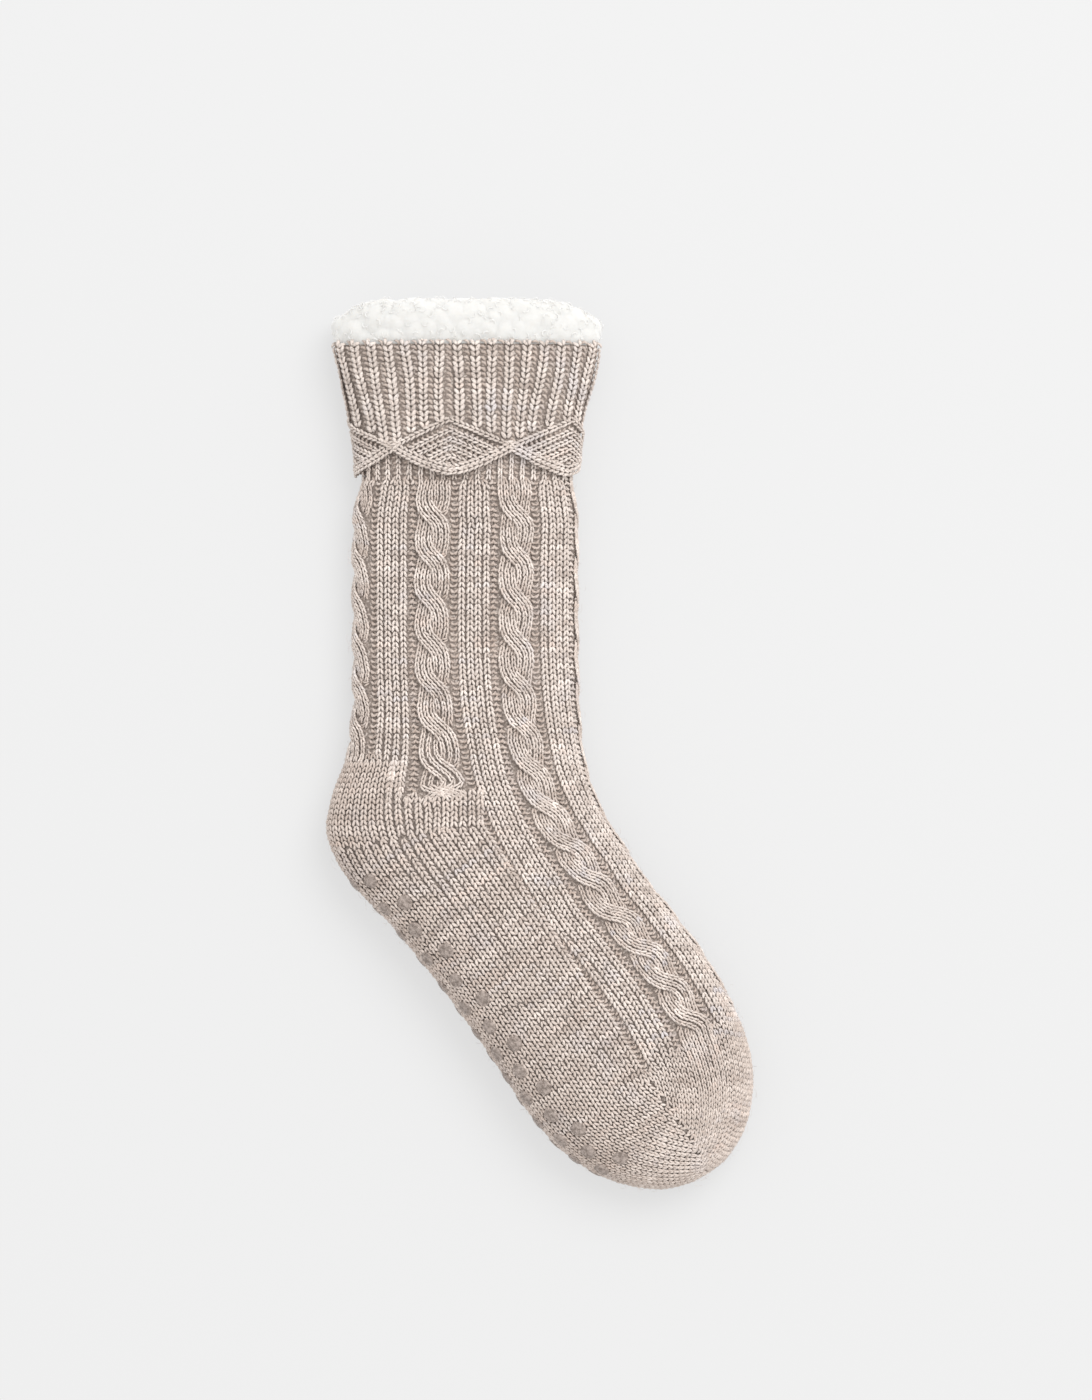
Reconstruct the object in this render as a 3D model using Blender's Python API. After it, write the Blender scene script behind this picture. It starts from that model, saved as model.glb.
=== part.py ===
"""A knitted slipper sock with a turned-down ribbed cuff, a pile lining and grip dots on the sole.

The sock lies on its side, as an empty one does: the leg runs along Y with its back at -X, the foot
turns off towards +X, and the side that it lies on is at z = 0. Every surface is an offset of one
body, which is lofted through the table of sections below. Sizes are in metres.
"""

import math
from collections import namedtuple

import bmesh
import bpy
import numpy as np
from mathutils import Matrix, Vector

# Leg and foot, flat widths as the sock lies
LEG_LENGTH = 0.195
LEG_WIDTH = 0.106
LEG_THICKNESS = 0.032
FOOT_LENGTH = 0.240
FOOT_TURN = math.radians(34)
HEEL_SETBACK = 0.019
HEEL_WIDTH = 0.118
INSTEP_WIDTH = 0.109
BALL_WIDTH = 0.110
FOOT_THICKNESS = 0.048

# Cross-section: height of its widest line, how square its halves are, how far it is pressed flat
EDGE_LEVEL = 0.42
UPPER_SQUARENESS = 2.2
LOWER_SQUARENESS = 3.2
PRESSED = 1.06

# Walls and clearances
KNIT_WALL = 0.0028
FLEECE_WALL = 0.0050
CUFF_WALL = 0.0030
SEAT_GAP = 0.0003
CUFF_GAP = 0.0004

# Cable knit, measured around and along the leg
REPEATS = 6
CABLE_WIDTH = 0.0164
PURL_WIDTH = 0.0034
PURL_DEPTH = 0.0009
CABLE_PITCH = 0.0202
CABLE_RISE = 0.0019
CABLE_CREST = 0.0038
LEG_RIDGE_SHIFT = 0.0038
FOOT_RIDGE_SHIFT = 0.0064
INSTEP_REPEATS = 1.77
HEEL_PLAIN_FROM = 0.018
TOE_PLAIN_FROM = 0.087
PATTERN_FADE = 0.020
PATTERN_START = 0.008

# Turned cuff, measured down from the fold
CUFF_DROP = 0.0630
SCALLOP_DEPTH = 0.0115
DIAMOND_PEAK = 0.0370
DIAMOND_VALLEY = 0.0500
DIAMOND_PLACES = (0.046, 0.281, 0.508, 0.690, 0.870)
RIBS = 34
RIB_RELIEF = 0.0006
WELT_RELIEF = 0.0007
HEM_ROLL = 0.0008
HEM_EASE = 0.026
FOLD_ROLL = 0.0023

# Pile rim above the fold
RIM_HEIGHT = 0.0235
RIM_LUMP = 0.0013
RIM_LUMPS = 15

# Grip dots on the sole
GRIP_RADIUS = 0.0035
GRIP_HEIGHT = 0.0008
GRIP_CHAMFER = 0.0006
GRIP_ROWS = 14
GRIP_SPACING = 0.0130
GRIP_STAGGER = 0.0065
GRIP_LOWEST = 0.0085
GRIP_FROM_ANKLE = 0.050
GRIP_TO_TOE = 0.058

# Mesh resolution
INNER_COLUMNS = 24
TOE_CAP = 0.030
TOE_CAP_SHARES = (0.72, 0.50, 0.30, 0.15, 0.06)
RIM_COLUMNS = 40
GRIP_SIDES = 8
ARC_SAMPLES = 240
PROBE = 0.0005

# Leg sections are measured up from the ankle in leg lengths, foot sections from the heel in foot
# lengths. Back and front are the two edges of the outline, away from the centre line, in widths
# of the zone. Low and high are the underside and the top, in thicknesses of the zone. The leg's
# rows down to the hem hold the outline with the cuff on it.
Section = namedtuple("Section", "zone back_along back front_along front low high")
SECTIONS = (
    Section("rim", 1.00, 0.575, 1.00, 0.570, 0.00, 1.20),
    Section("rim", 0.50, 0.603, 0.50, 0.603, 0.00, 1.25),
    Section("leg", 1.00, 0.602, 1.00, 0.604, 0.00, 1.25),
    Section("leg", 0.92, 0.572, 0.92, 0.578, 0.00, 1.24),
    Section("leg", 0.82, 0.530, 0.82, 0.532, 0.00, 1.22),
    Section("leg", 0.74, 0.506, 0.74, 0.516, 0.00, 1.20),
    Section("leg", 0.66, 0.502, 0.66, 0.508, 0.00, 1.16),
    Section("leg", 0.56, 0.500, 0.56, 0.500, 0.00, 1.04),
    Section("leg", 0.40, 0.500, 0.40, 0.498, 0.00, 1.00),
    Section("leg", 0.22, 0.500, 0.22, 0.500, 0.00, 1.00),
    Section("leg", 0.10, 0.502, 0.10, 0.507, 0.00, 1.06),
    Section("leg", 0.01, 0.528, 0.02, 0.520, 0.00, 1.16),
    Section("heel", -0.03, 0.424, 0.21, 0.496, 0.00, 0.84),
    Section("heel", 0.02, 0.510, 0.25, 0.475, 0.00, 0.89),
    Section("heel", 0.09, 0.540, 0.28, 0.462, 0.00, 0.93),
    Section("heel", 0.16, 0.529, 0.31, 0.458, 0.00, 0.95),
    Section("heel", 0.22, 0.506, 0.34, 0.453, 0.00, 0.97),
    Section("instep", 0.29, 0.530, 0.38, 0.493, 0.00, 0.98),
    Section("instep", 0.40, 0.510, 0.44, 0.487, 0.00, 0.99),
    Section("ball", 0.48, 0.499, 0.50, 0.496, 0.00, 1.00),
    Section("ball", 0.55, 0.496, 0.56, 0.504, 0.00, 1.00),
    Section("ball", 0.62, 0.497, 0.625, 0.511, 0.00, 1.00),
    Section("ball", 0.69, 0.497, 0.69, 0.505, 0.00, 0.99),
    Section("ball", 0.75, 0.488, 0.74, 0.497, 0.00, 0.97),
    Section("ball", 0.81, 0.463, 0.80, 0.474, 0.00, 0.93),
    Section("ball", 0.863, 0.418, 0.857, 0.433, 0.01, 0.87),
    Section("ball", 0.910, 0.356, 0.908, 0.368, 0.04, 0.79),
    Section("ball", 0.948, 0.281, 0.950, 0.285, 0.10, 0.70),
    Section("ball", 0.977, 0.195, 0.981, 0.185, 0.19, 0.61),
    Section("ball", 0.994, 0.100, 0.997, 0.085, 0.30, 0.50),
    Section("ball", 1.000, 0.000, 1.000, 0.000, 0.40, 0.40),
)
FOLD_ROW = 2
ANKLE_ROW = 11

Finish = namedtuple("Finish", "name color roughness")
KNIT_FINISH = Finish("oatmeal_knit", (0.50, 0.43, 0.38, 1.0), 0.92)
CUFF_FINISH = Finish("oatmeal_rib", (0.52, 0.45, 0.40, 1.0), 0.92)
FLEECE_FINISH = Finish("white_pile", (0.88, 0.87, 0.84, 1.0), 0.95)
GRIP_FINISH = Finish("grip_rubber", (0.32, 0.27, 0.24, 1.0), 0.55)


def rim_point(along, out):
    """A point above the fold, in heights of the rim."""
    return out * LEG_WIDTH, LEG_LENGTH + along * RIM_HEIGHT


def leg_point(along, out):
    """A point in the leg's frame: the ankle is the origin and the leg runs up."""
    return out * LEG_WIDTH, along * LEG_LENGTH


def foot_point(width):
    """The way a foot section's points are placed: turned off the leg, set back, from the heel."""

    def place(along, out):
        forward, across = along * FOOT_LENGTH, out * width
        sine, cosine = math.sin(FOOT_TURN), math.cos(FOOT_TURN)
        return forward * sine + across * cosine - HEEL_SETBACK, across * sine - forward * cosine

    return place


Zone = namedtuple("Zone", "place thickness")
ZONES = {
    "rim": Zone(rim_point, LEG_THICKNESS),
    "leg": Zone(leg_point, LEG_THICKNESS),
    "heel": Zone(foot_point(HEEL_WIDTH), FOOT_THICKNESS),
    "instep": Zone(foot_point(INSTEP_WIDTH), FOOT_THICKNESS),
    "ball": Zone(foot_point(BALL_WIDTH), FOOT_THICKNESS),
}


def section_row(section):
    """One section in metres: back x and y, front x and y, low and high."""
    zone = ZONES[section.zone]
    back = zone.place(section.back_along, -section.back)
    front = zone.place(section.front_along, section.front)
    return (*back, *front, section.low * zone.thickness, section.high * zone.thickness)


ROWS = np.array([section_row(section) for section in SECTIONS])


def knots_of(rows):
    """How far each section lies below the fold, as a mean of the outline's two edges."""
    steps = np.diff(rows, axis=0)
    back_steps = np.hypot(steps[:, 0], steps[:, 1])
    front_steps = np.hypot(steps[:, 2], steps[:, 3])
    knots = np.concatenate([[0.0], np.cumsum((back_steps + front_steps) / 2)])
    return knots - knots[FOLD_ROW]


KNOTS = knots_of(ROWS)
TIP = KNOTS[-1]


def slopes_of(rows, knots):
    """The slope of each column at each knot, from the chords on both sides of it."""
    spans = np.diff(knots)[:, None]
    chords = np.diff(rows, axis=0) / spans
    inner = (chords[:-1] * spans[1:] + chords[1:] * spans[:-1]) / (spans[1:] + spans[:-1])
    return np.vstack([chords[:1], inner, chords[-1:]])


SLOPES = slopes_of(ROWS, KNOTS)


def row_at(down):
    """The section at a distance down from the fold, on smooth curves through the table."""
    down = np.clip(down, KNOTS[0], TIP)
    index = np.clip(np.searchsorted(KNOTS, down, side="right") - 1, 0, len(KNOTS) - 2)
    span = (KNOTS[index + 1] - KNOTS[index])[..., None]
    part = (down - KNOTS[index])[..., None] / span
    square, cube = part**2, part**3
    return (
        (2 * cube - 3 * square + 1) * ROWS[index]
        + (cube - 2 * square + part) * span * SLOPES[index]
        + (3 * square - 2 * cube) * ROWS[index + 1]
        + (cube - square) * span * SLOPES[index + 1]
    )


def eased(value):
    value = np.clip(value, 0.0, 1.0)
    return value * value * (3 - 2 * value)


def cover(down):
    """How far the leg is drawn in under the cuff: one above the hem, nothing below it."""
    return eased((CUFF_DROP + HEM_EASE - down) / HEM_EASE)


def away_from(run, side):
    """Unit vectors across an edge of the outline, pointing out of it."""
    run = run / np.linalg.norm(run, axis=-1, keepdims=True)
    return side * np.stack([run[..., 1], -run[..., 0]], axis=-1)


def offset_section(down, out):
    """The section at a distance down, moved outwards: its back, its front, low and high."""
    change = row_at(down + PROBE) - row_at(down - PROBE)
    row = row_at(down)
    move = (out - (CUFF_GAP + CUFF_WALL) * cover(down))[..., None]
    back = row[..., 0:2] + move * away_from(change[..., 0:2], 1)
    front = row[..., 2:4] + move * away_from(change[..., 2:4], -1)
    advance = np.linalg.norm(change[..., 0:2] + change[..., 2:4], axis=-1, keepdims=True) / 2
    upright = advance / np.hypot(advance, change[..., 4:6])
    low = row[..., 4] - move[..., 0] * upright[..., 0]
    high = row[..., 5] + move[..., 0] * upright[..., 1]
    return back, front, low, high


def surface(angle, down, out):
    """Points of the sock: angle 0 is the front edge, and a quarter turn on is the top."""
    angle, down, out = np.broadcast_arrays(angle, down, out)
    back, front, low, high = offset_section(down, out)
    cosine, sine = np.cos(angle), np.sin(angle)
    power = np.where(sine >= 0, 2 / UPPER_SQUARENESS, 2 / LOWER_SQUARENESS)
    across = np.sign(cosine) * np.abs(cosine) ** power
    rise = np.abs(sine) ** power
    edge = low + EDGE_LEVEL * (high - low)
    pressed = np.maximum(low, edge - PRESSED * (edge - low) * rise)
    height = np.where(sine >= 0, edge + (high - edge) * rise, pressed)
    plan = (front + back) / 2 + across[..., None] * (front - back) / 2
    return np.concatenate([plan, height[..., None]], axis=-1)


TURN = np.linspace(0, 2 * math.pi, ARC_SAMPLES + 1)


def girth(down):
    """The distance around from the front edge to each angle of TURN."""
    points = surface(TURN, down, 0.0)
    return np.concatenate([[0.0], np.cumsum(np.linalg.norm(np.diff(points, axis=0), axis=1))])


def angles_at(down, distances):
    """The angles that lie at these distances around from the front edge."""
    around = girth(down)
    return np.interp(np.mod(distances, around[-1]), around, TURN)


LEG_MIDDLE = (CUFF_DROP + HEM_EASE + LEG_LENGTH) / 2
PERIOD = girth(LEG_MIDDLE)[-1] / REPEATS


def from_ridge(repeats):
    """Repeats counted both ways from the cable on the front ridge."""
    return repeats - REPEATS if repeats > REPEATS / 2 else repeats


def knit_distance(down, repeats):
    """Where a column of the cable pattern runs: the instep keeps its gauge, the sole spreads."""
    half = girth(down)[-1] / 2
    gauge = min(PERIOD, half * 2 / REPEATS)
    turned = eased((down - LEG_LENGTH) / INSTEP_WIDTH + 0.5)
    shift = LEG_RIDGE_SHIFT + (FOOT_RIDGE_SHIFT - LEG_RIDGE_SHIFT) * turned
    instep = INSTEP_REPEATS * gauge
    size = abs(repeats)
    if size < INSTEP_REPEATS:
        distance = size * gauge
    else:
        rest = (size - INSTEP_REPEATS) / (REPEATS / 2 - INSTEP_REPEATS)
        distance = instep + rest * (half - instep)
    return math.copysign(distance, repeats) - shift * gauge / PERIOD


Column = namedtuple("Column", "repeats kind")


def pattern_columns():
    """The columns of one whole round: crests, feet, purl grooves and panels of each repeat."""
    foot = CABLE_WIDTH / 2
    groove = foot + PURL_WIDTH / 2
    panel = foot + PURL_WIDTH
    places = (
        (-panel, "panel"),
        (-groove, "groove"),
        (-foot, "foot"),
        (-CABLE_CREST, "back_crest"),
        (CABLE_CREST, "front_crest"),
        (foot, "foot"),
        (groove, "groove"),
        (panel, "panel"),
        (PERIOD / 2, "panel"),
    )
    columns = [
        Column((cable + place / PERIOD) % REPEATS, kind)
        for cable in range(REPEATS)
        for place, kind in places
    ]
    return sorted(columns)


def pattern_strength(down, column):
    """How strongly a column's relief shows: instep columns run to the toe, the rest to the heel."""
    on_instep = abs(from_ridge(column.repeats)) < INSTEP_REPEATS + PURL_WIDTH / PERIOD
    end = TIP - TOE_PLAIN_FROM if on_instep else LEG_LENGTH + HEEL_PLAIN_FROM
    start = CUFF_DROP + SEAT_GAP
    return float(eased((end - down) / PATTERN_FADE) * eased((down - start) / PATTERN_START))


def relief(ring, down, column):
    """The height of the knit over the plain wall. The crests of a cable rise in turn."""
    turns = {"back_crest": ring % 2, "front_crest": 1 - ring % 2}
    heights = {"panel": 0.0, "foot": 0.0, "groove": -PURL_DEPTH}
    if column.kind in turns:
        height = CABLE_RISE * (0.45 + 0.55 * turns[column.kind])
    else:
        height = heights[column.kind]
    return height * pattern_strength(down, column)


def floored(points):
    """Nothing reaches below the surface that the sock lies on."""
    points[:, 2] = np.maximum(points[:, 2], 0.0)
    return points


def even_ring(down, out, count):
    """A plain ring of evenly spaced points, each a distance out from the body."""
    distances = np.arange(count) / count * girth(down)[-1]
    return floored(surface(angles_at(down, distances), down, out))


def loft(name, rings, tips=None):
    """A closed solid through rings of points, between two tips or back to its first ring."""
    mesh = bmesh.new()
    loops = [[mesh.verts.new(point) for point in ring] for ring in rings]
    pairs = list(zip(loops, loops[1:]))
    if tips is None:
        pairs.append((loops[-1], loops[0]))
    else:
        for tip, loop in zip(tips, (loops[0], loops[-1])):
            pole = mesh.verts.new(tip)
            for i, vertex in enumerate(loop):
                mesh.faces.new((vertex, loop[(i + 1) % len(loop)], pole))
    for upper, lower in pairs:
        zip_rings(mesh, upper, lower)
    bmesh.ops.recalc_face_normals(mesh, faces=mesh.faces)
    if mesh.calc_volume(signed=True) < 0:
        bmesh.ops.reverse_faces(mesh, faces=mesh.faces)
    data = bpy.data.meshes.new(name)
    mesh.to_mesh(data)
    mesh.free()
    data.shade_smooth()
    return bpy.data.objects.new(name, data)


def zip_rings(mesh, upper, lower):
    """Triangles between two rings, which may have different numbers of points."""
    i = j = 0
    while i < len(upper) or j < len(lower):
        here, there = upper[i % len(upper)], lower[j % len(lower)]
        if (i + 1) * len(lower) <= (j + 1) * len(upper):
            i += 1
            mesh.faces.new((here, upper[i % len(upper)], there))
        else:
            j += 1
            mesh.faces.new((here, lower[j % len(lower)], there))


def tip_point(out):
    """The end of the toe, moved outwards along the foot."""
    row = ROWS[-1]
    x, y = row[0] + out * math.sin(FOOT_TURN), row[1] - out * math.cos(FOOT_TURN)
    return x, y, row[4]


def inner_rings(out):
    """The smooth inner surfaces, a ring at each section and at every other one of the leg."""
    downs = (FOLD_ROLL + SEAT_GAP, *KNOTS[FOLD_ROW + 2 : ANKLE_ROW : 2], *KNOTS[ANKLE_ROW:-1])
    return [even_ring(down, out, INNER_COLUMNS) for down in downs]


def knit_body():
    """The leg, heel, foot, sole and toe, knitted in one, with a real wall and an open collar."""
    columns = pattern_columns()
    start, end = FOLD_ROLL + SEAT_GAP, TIP - TOE_CAP
    count = round((end - start) / (CABLE_PITCH / 2))
    downs = [*np.linspace(start, end, count), *(TIP - TOE_CAP * np.array(TOE_CAP_SHARES))]
    outer = []
    for ring, down in enumerate(downs):
        distances = np.array([knit_distance(down, from_ridge(c.repeats)) for c in columns])
        heights = np.array([relief(ring, down, c) for c in columns])
        outer.append(floored(surface(angles_at(down, distances), down, heights)))
    tips = (tip_point(0.0), tip_point(-KNIT_WALL))
    return loft("knit_body", outer[::-1] + inner_rings(-KNIT_WALL), tips)


def fleece_lump(ring, count):
    """Soft lumps around the rim, shifted from ring to ring so that they don't line up."""
    around = np.arange(count) / count * 2 * math.pi
    return RIM_LUMP * np.sin(RIM_LUMPS * around + 2.1 * ring) * np.cos(4 * around - 1.3 * ring)


def sherpa_lining():
    """The pile lining, a hollow sock inside the knit that stands as a thick rim above the fold."""
    outside = -KNIT_WALL - SEAT_GAP
    inside = outside - FLEECE_WALL
    lip = CUFF_GAP + CUFF_WALL
    profile = (
        (-0.10, inside + 0.0004),
        (-0.50, inside + 0.0010),
        (-0.84, inside + 0.0022),
        (-0.98, (inside + lip) / 2),
        (-0.86, lip - 0.0024),
        (-0.55, lip - 0.0002),
        (-0.20, lip - 0.0006),
        (0.00, outside),
    )
    rim = []
    for ring, (share, out) in enumerate(profile):
        down = share * RIM_HEIGHT - SEAT_GAP
        lumps = fleece_lump(ring, RIM_COLUMNS) * (share < 0)
        rim.append(even_ring(down, out + lumps, RIM_COLUMNS))
    tips = (tip_point(inside), tip_point(outside))
    rings = inner_rings(inside)[::-1] + rim + inner_rings(outside)
    return loft("sherpa_lining", rings, tips)


def diamond_wave(count):
    """For each point around: nothing at a diamond's middle, one between two diamonds."""
    around = np.arange(count) / count
    places = np.array(DIAMOND_PLACES)
    ends = np.append(places, places[0] + 1)
    turned = np.where(around < places[0], around + 1, around)
    index = np.searchsorted(ends, turned, side="right") - 1
    part = (turned - ends[index]) / (ends[index + 1] - ends[index])
    return 1 - np.abs(2 * part - 1)


def turned_cuff():
    """The ribbed top, rolled over at the fold, with a border of diamonds and a scalloped hem."""
    count = 2 * RIBS
    seat = CUFF_GAP
    face = CUFF_GAP + CUFF_WALL
    wave = diamond_wave(count)
    hem = CUFF_DROP - SCALLOP_DEPTH * wave**1.5
    border = DIAMOND_PEAK + (DIAMOND_VALLEY - DIAMOND_PEAK) * wave
    rib = RIB_RELIEF * (1 - 2 * (np.arange(count) % 2))
    smooth = np.zeros(count)
    # How far down, how far out, and how much of the ribs' relief each ring of the outside has
    rings = (
        (smooth + FOLD_ROLL, -KNIT_WALL + smooth, 0.0),
        (smooth + 0.3 * FOLD_ROLL, -KNIT_WALL + smooth, 0.0),
        (smooth, -0.2 * KNIT_WALL + smooth, 0.5),
        (smooth + 0.2 * FOLD_ROLL, 0.7 * face + smooth, 1.0),
        (smooth + FOLD_ROLL, face + smooth, 1.0),
        (0.35 * border, face + smooth, 1.0),
        (0.70 * border, face + smooth, 1.0),
        (border - 0.0020, face + smooth, 0.7),
        (border, face + WELT_RELIEF, 0.2),
        (border + 0.0030, face + smooth - 0.3 * WELT_RELIEF, 0.4),
        (border * 0.4 + hem * 0.6, face + smooth, 0.4),
        (hem - 0.0016, face + HEM_ROLL, 0.2),
        (hem, face * 0.6 + smooth, 0.0),
        (hem - 0.0006, seat + smooth, 0.0),
    )
    outer = []
    for downs, outs, share in rings:
        around = np.array([girth(down)[-1] for down in downs]) * np.arange(count) / count
        angles = np.array([float(angles_at(down, place)) for down, place in zip(downs, around)])
        outer.append(floored(surface(angles, downs, outs + share * rib)))
    inner_top = even_ring(FOLD_ROLL, seat, count)
    inner_middle = [even_ring(share * DIAMOND_VALLEY, seat, count) for share in (0.6, 0.25)]
    return loft("turned_cuff", outer + inner_middle + [inner_top])


def grip_mesh():
    """One dot, a low button with a chamfered rim, its seat at the origin and its face along Z."""
    mesh = bmesh.new()
    bmesh.ops.create_cone(
        mesh,
        cap_ends=True,
        segments=GRIP_SIDES,
        radius1=GRIP_RADIUS,
        radius2=GRIP_RADIUS - GRIP_CHAMFER,
        depth=GRIP_HEIGHT,
        matrix=Matrix.Translation((0, 0, SEAT_GAP + GRIP_HEIGHT / 2)),
    )
    data = bpy.data.meshes.new("grip_dot")
    mesh.to_mesh(data)
    mesh.free()
    return data


def grip_places():
    """Where the dots lie: how far down the sock, and how far around from the sole's edge."""
    first = LEG_LENGTH + GRIP_FROM_ANKLE
    last = TIP - GRIP_TO_TOE
    for row in range(GRIP_ROWS):
        down = first + (last - first) * row / (GRIP_ROWS - 1)
        for column in range(3):
            around = column * GRIP_SPACING + (row % 2) * GRIP_STAGGER - GRIP_LOWEST
            yield down, around


def grip_frame(down, around):
    """The place and tilt of a dot that lies flat against the sole."""
    middle = girth(down)[ARC_SAMPLES // 2]
    angle = float(angles_at(down, middle - around))
    spots = surface(
        np.array([angle, angle + 0.01, angle - 0.01, angle, angle]),
        np.array([down, down, down, down + 0.001, down - 0.001]),
        0.0,
    )
    along = Vector(spots[3] - spots[4])
    across = Vector(spots[1] - spots[2])
    normal = across.cross(along).normalized()
    return Vector(spots[0]), normal.to_track_quat("Z", "Y")


def grip_dots():
    data = grip_mesh()
    dots = []
    for number, (down, around) in enumerate(grip_places(), 1):
        dot = bpy.data.objects.new(f"grip_dot_{number:02d}", data)
        dot.location, turn = grip_frame(down, around)
        dot.rotation_euler = turn.to_euler()
        dots.append(dot)
    return dots


def material(finish):
    """A Principled material with a finish's colour and roughness."""
    made = bpy.data.materials.new(finish.name)
    made.use_nodes = True
    shader = made.node_tree.nodes["Principled BSDF"]
    shader.inputs["Base Color"].default_value = finish.color
    shader.inputs["Roughness"].default_value = finish.roughness
    shader.inputs["Metallic"].default_value = 0.0
    made.diffuse_color = finish.color
    return made


def bottom_centre(objects):
    """The middle of all the pieces in plan, at the surface that they lie on."""
    bpy.context.view_layer.update()
    corners = np.array([obj.matrix_world @ Vector(c) for obj in objects for c in obj.bound_box])
    middle = (corners.min(axis=0) + corners.max(axis=0)) / 2
    return Vector((middle[0], middle[1], 0.0))


def main():
    for obj in list(bpy.data.objects):
        bpy.data.objects.remove(obj, do_unlink=True)
    collection = bpy.data.collections.new("slipper_sock")
    bpy.context.scene.collection.children.link(collection)

    body, cuff, lining, dots = knit_body(), turned_cuff(), sherpa_lining(), grip_dots()
    body.data.materials.append(material(KNIT_FINISH))
    cuff.data.materials.append(material(CUFF_FINISH))
    lining.data.materials.append(material(FLEECE_FINISH))
    dots[0].data.materials.append(material(GRIP_FINISH))

    pieces = [body, cuff, lining, *dots]
    origin = bpy.data.objects.new("sock_origin", None)
    for obj in (origin, *pieces):
        collection.objects.link(obj)
    for piece in pieces:
        piece.parent = origin
    origin.location = -bottom_centre(pieces)


main()
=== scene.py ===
"""The looks of a cable-knit slipper sock with a turned cuff, a pile lining and grip dots."""

import math
from collections import namedtuple

import bmesh
import bpy
import numpy as np
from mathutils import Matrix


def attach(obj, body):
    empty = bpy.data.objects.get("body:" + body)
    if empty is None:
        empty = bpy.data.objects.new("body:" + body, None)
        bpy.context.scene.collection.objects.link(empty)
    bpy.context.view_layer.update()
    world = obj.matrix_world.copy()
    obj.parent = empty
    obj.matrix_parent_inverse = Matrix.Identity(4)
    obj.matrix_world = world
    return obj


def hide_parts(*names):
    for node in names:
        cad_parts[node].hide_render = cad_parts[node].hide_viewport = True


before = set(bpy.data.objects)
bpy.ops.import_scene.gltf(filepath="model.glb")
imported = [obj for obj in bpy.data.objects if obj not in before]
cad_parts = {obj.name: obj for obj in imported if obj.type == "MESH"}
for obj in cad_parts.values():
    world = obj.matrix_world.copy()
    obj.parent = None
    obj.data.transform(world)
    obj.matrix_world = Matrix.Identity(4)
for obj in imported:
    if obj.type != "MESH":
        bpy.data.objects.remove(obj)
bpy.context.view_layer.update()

bl_info = {
    "name": "Cable-knit slipper sock",
    "version": (1, 0, 0),
    "blender": (4, 5, 0),
    "location": "3D View > Sidebar > Sock",
    "description": "Builds the yarn, pile and grip dots of a slipper sock on its packed frame",
    "category": "Object",
}

# The last that the sock is built on, in metres. The ankle is the origin here.
ANKLE = np.array([-0.0353660, -0.0051429, 0.0])
LEG_LENGTH = 0.195
LEG_WIDTH = 0.106
LEG_THICKNESS = 0.032
FOOT_LENGTH = 0.240
FOOT_TURN = math.radians(34)
HEEL_SETBACK = 0.019
HEEL_WIDTH = 0.118
INSTEP_WIDTH = 0.109
BALL_WIDTH = 0.110
FOOT_THICKNESS = 0.048
EDGE_LEVEL = 0.42
UPPER_SQUARENESS = 2.2
LOWER_SQUARENESS = 3.2
PRESSED = 1.06

# Walls and gaps
KNIT_WALL = 0.0028
FLEECE_WALL = 0.0050
CUFF_WALL = 0.0030
SEAT_GAP = 0.0003
CUFF_GAP = 0.0004
CUFF_FACE = CUFF_GAP + CUFF_WALL

# The knit's pattern
REPEATS = 6
CABLES = range(-2, 4)
WALES = 14
LEG_RIDGE_SHIFT = 0.0038
FOOT_RIDGE_SHIFT = 0.0064
INSTEP_REPEATS = 1.77
CABLE_PITCH = 0.0202
STITCH_SEAT = 0.0008
STRAND_HALF = 0.0052
STRAND_COVER = 0.0038
PURL_GROOVE = 0.0103
STRAND_SWING = 0.00425
FIRST_CROSSING = 0.0817
INSTEP_PATTERN_END = 0.376
HEEL_PATTERN_ENDS = {2: 0.2130, 3: 0.1950}
HEEL_PATTERN_ELSEWHERE = 0.205
PATTERN_FADE = 0.008
HEM_FADE = 0.004
HEEL_TOP = 0.199
GORE_ROW = 0.2310
GORE_SPAN = (0.056, 0.102)
STRAIGHT_TO = 0.330
TOE_START = 0.380
TOE_REACH = 0.030
TOE_KNOT = 0.0015
TOE_SEAM = (0.487, 0.584)
SEAM_GAP = 0.0001
HEM_RIB_END = 0.0670
HEM_RIB_START = 0.0480
CABLE_STITCH = 0.0030
PANEL_STITCH = 0.00372
PURL_STITCH = 0.0036
PURL_SLANT = math.radians(32)

# The cuff
CUFF_DROP = 0.0630
HEM_EASE = 0.026
SCALLOP_DEPTH = 0.0115
DIAMOND_PEAK = 0.0370
DIAMOND_VALLEY = 0.0500
DIAMOND_PLACES = (0.046, 0.281, 0.508, 0.690, 0.870)
RIBS = 34
CHEVRONS = 11
HEM_ROOM = 0.0038
FOLD_ROLL = 0.0023

# The pile rim and the grip dots
RIM_HEIGHT = 0.0235
RIM_RINGS = 44
RIM_COLUMNS = 360
LUMPS = 620
GRIP_RADIUS = 0.0035
GRIP_ROWS = 14
GRIP_COLUMNS = 3
GRIP_SPACING = 0.0130
GRIP_STAGGER = 0.0065
GRIP_LOWEST = 0.0085
GRIP_FROM_ANKLE = 0.050
GRIP_TO_TOE = 0.058
DOT_SIDES = 20
DOT_PROFILE = ((0.45, 0.96), (0.75, 0.80), (0.93, 0.48), (1.0, 0.10), (1.0, -0.3))

# How low yarn and walls may lie, and how far a stitch may face the floor before it is made coarse
STITCH_FLOOR = 0.0006
WALL_FLOOR = 0.0004
FACING_LIMIT = -0.35

# Half the side of the floor under the sock, and a millimetre in metres
FLOOR_REACH = 6
MM = 0.001

# How finely the surface is sampled, and the rows of its table that later functions name
ARC_SAMPLES = 240
PROBE = 0.0005
FOLD_ROW = 2
ANKLE_ROW = 11

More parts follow.
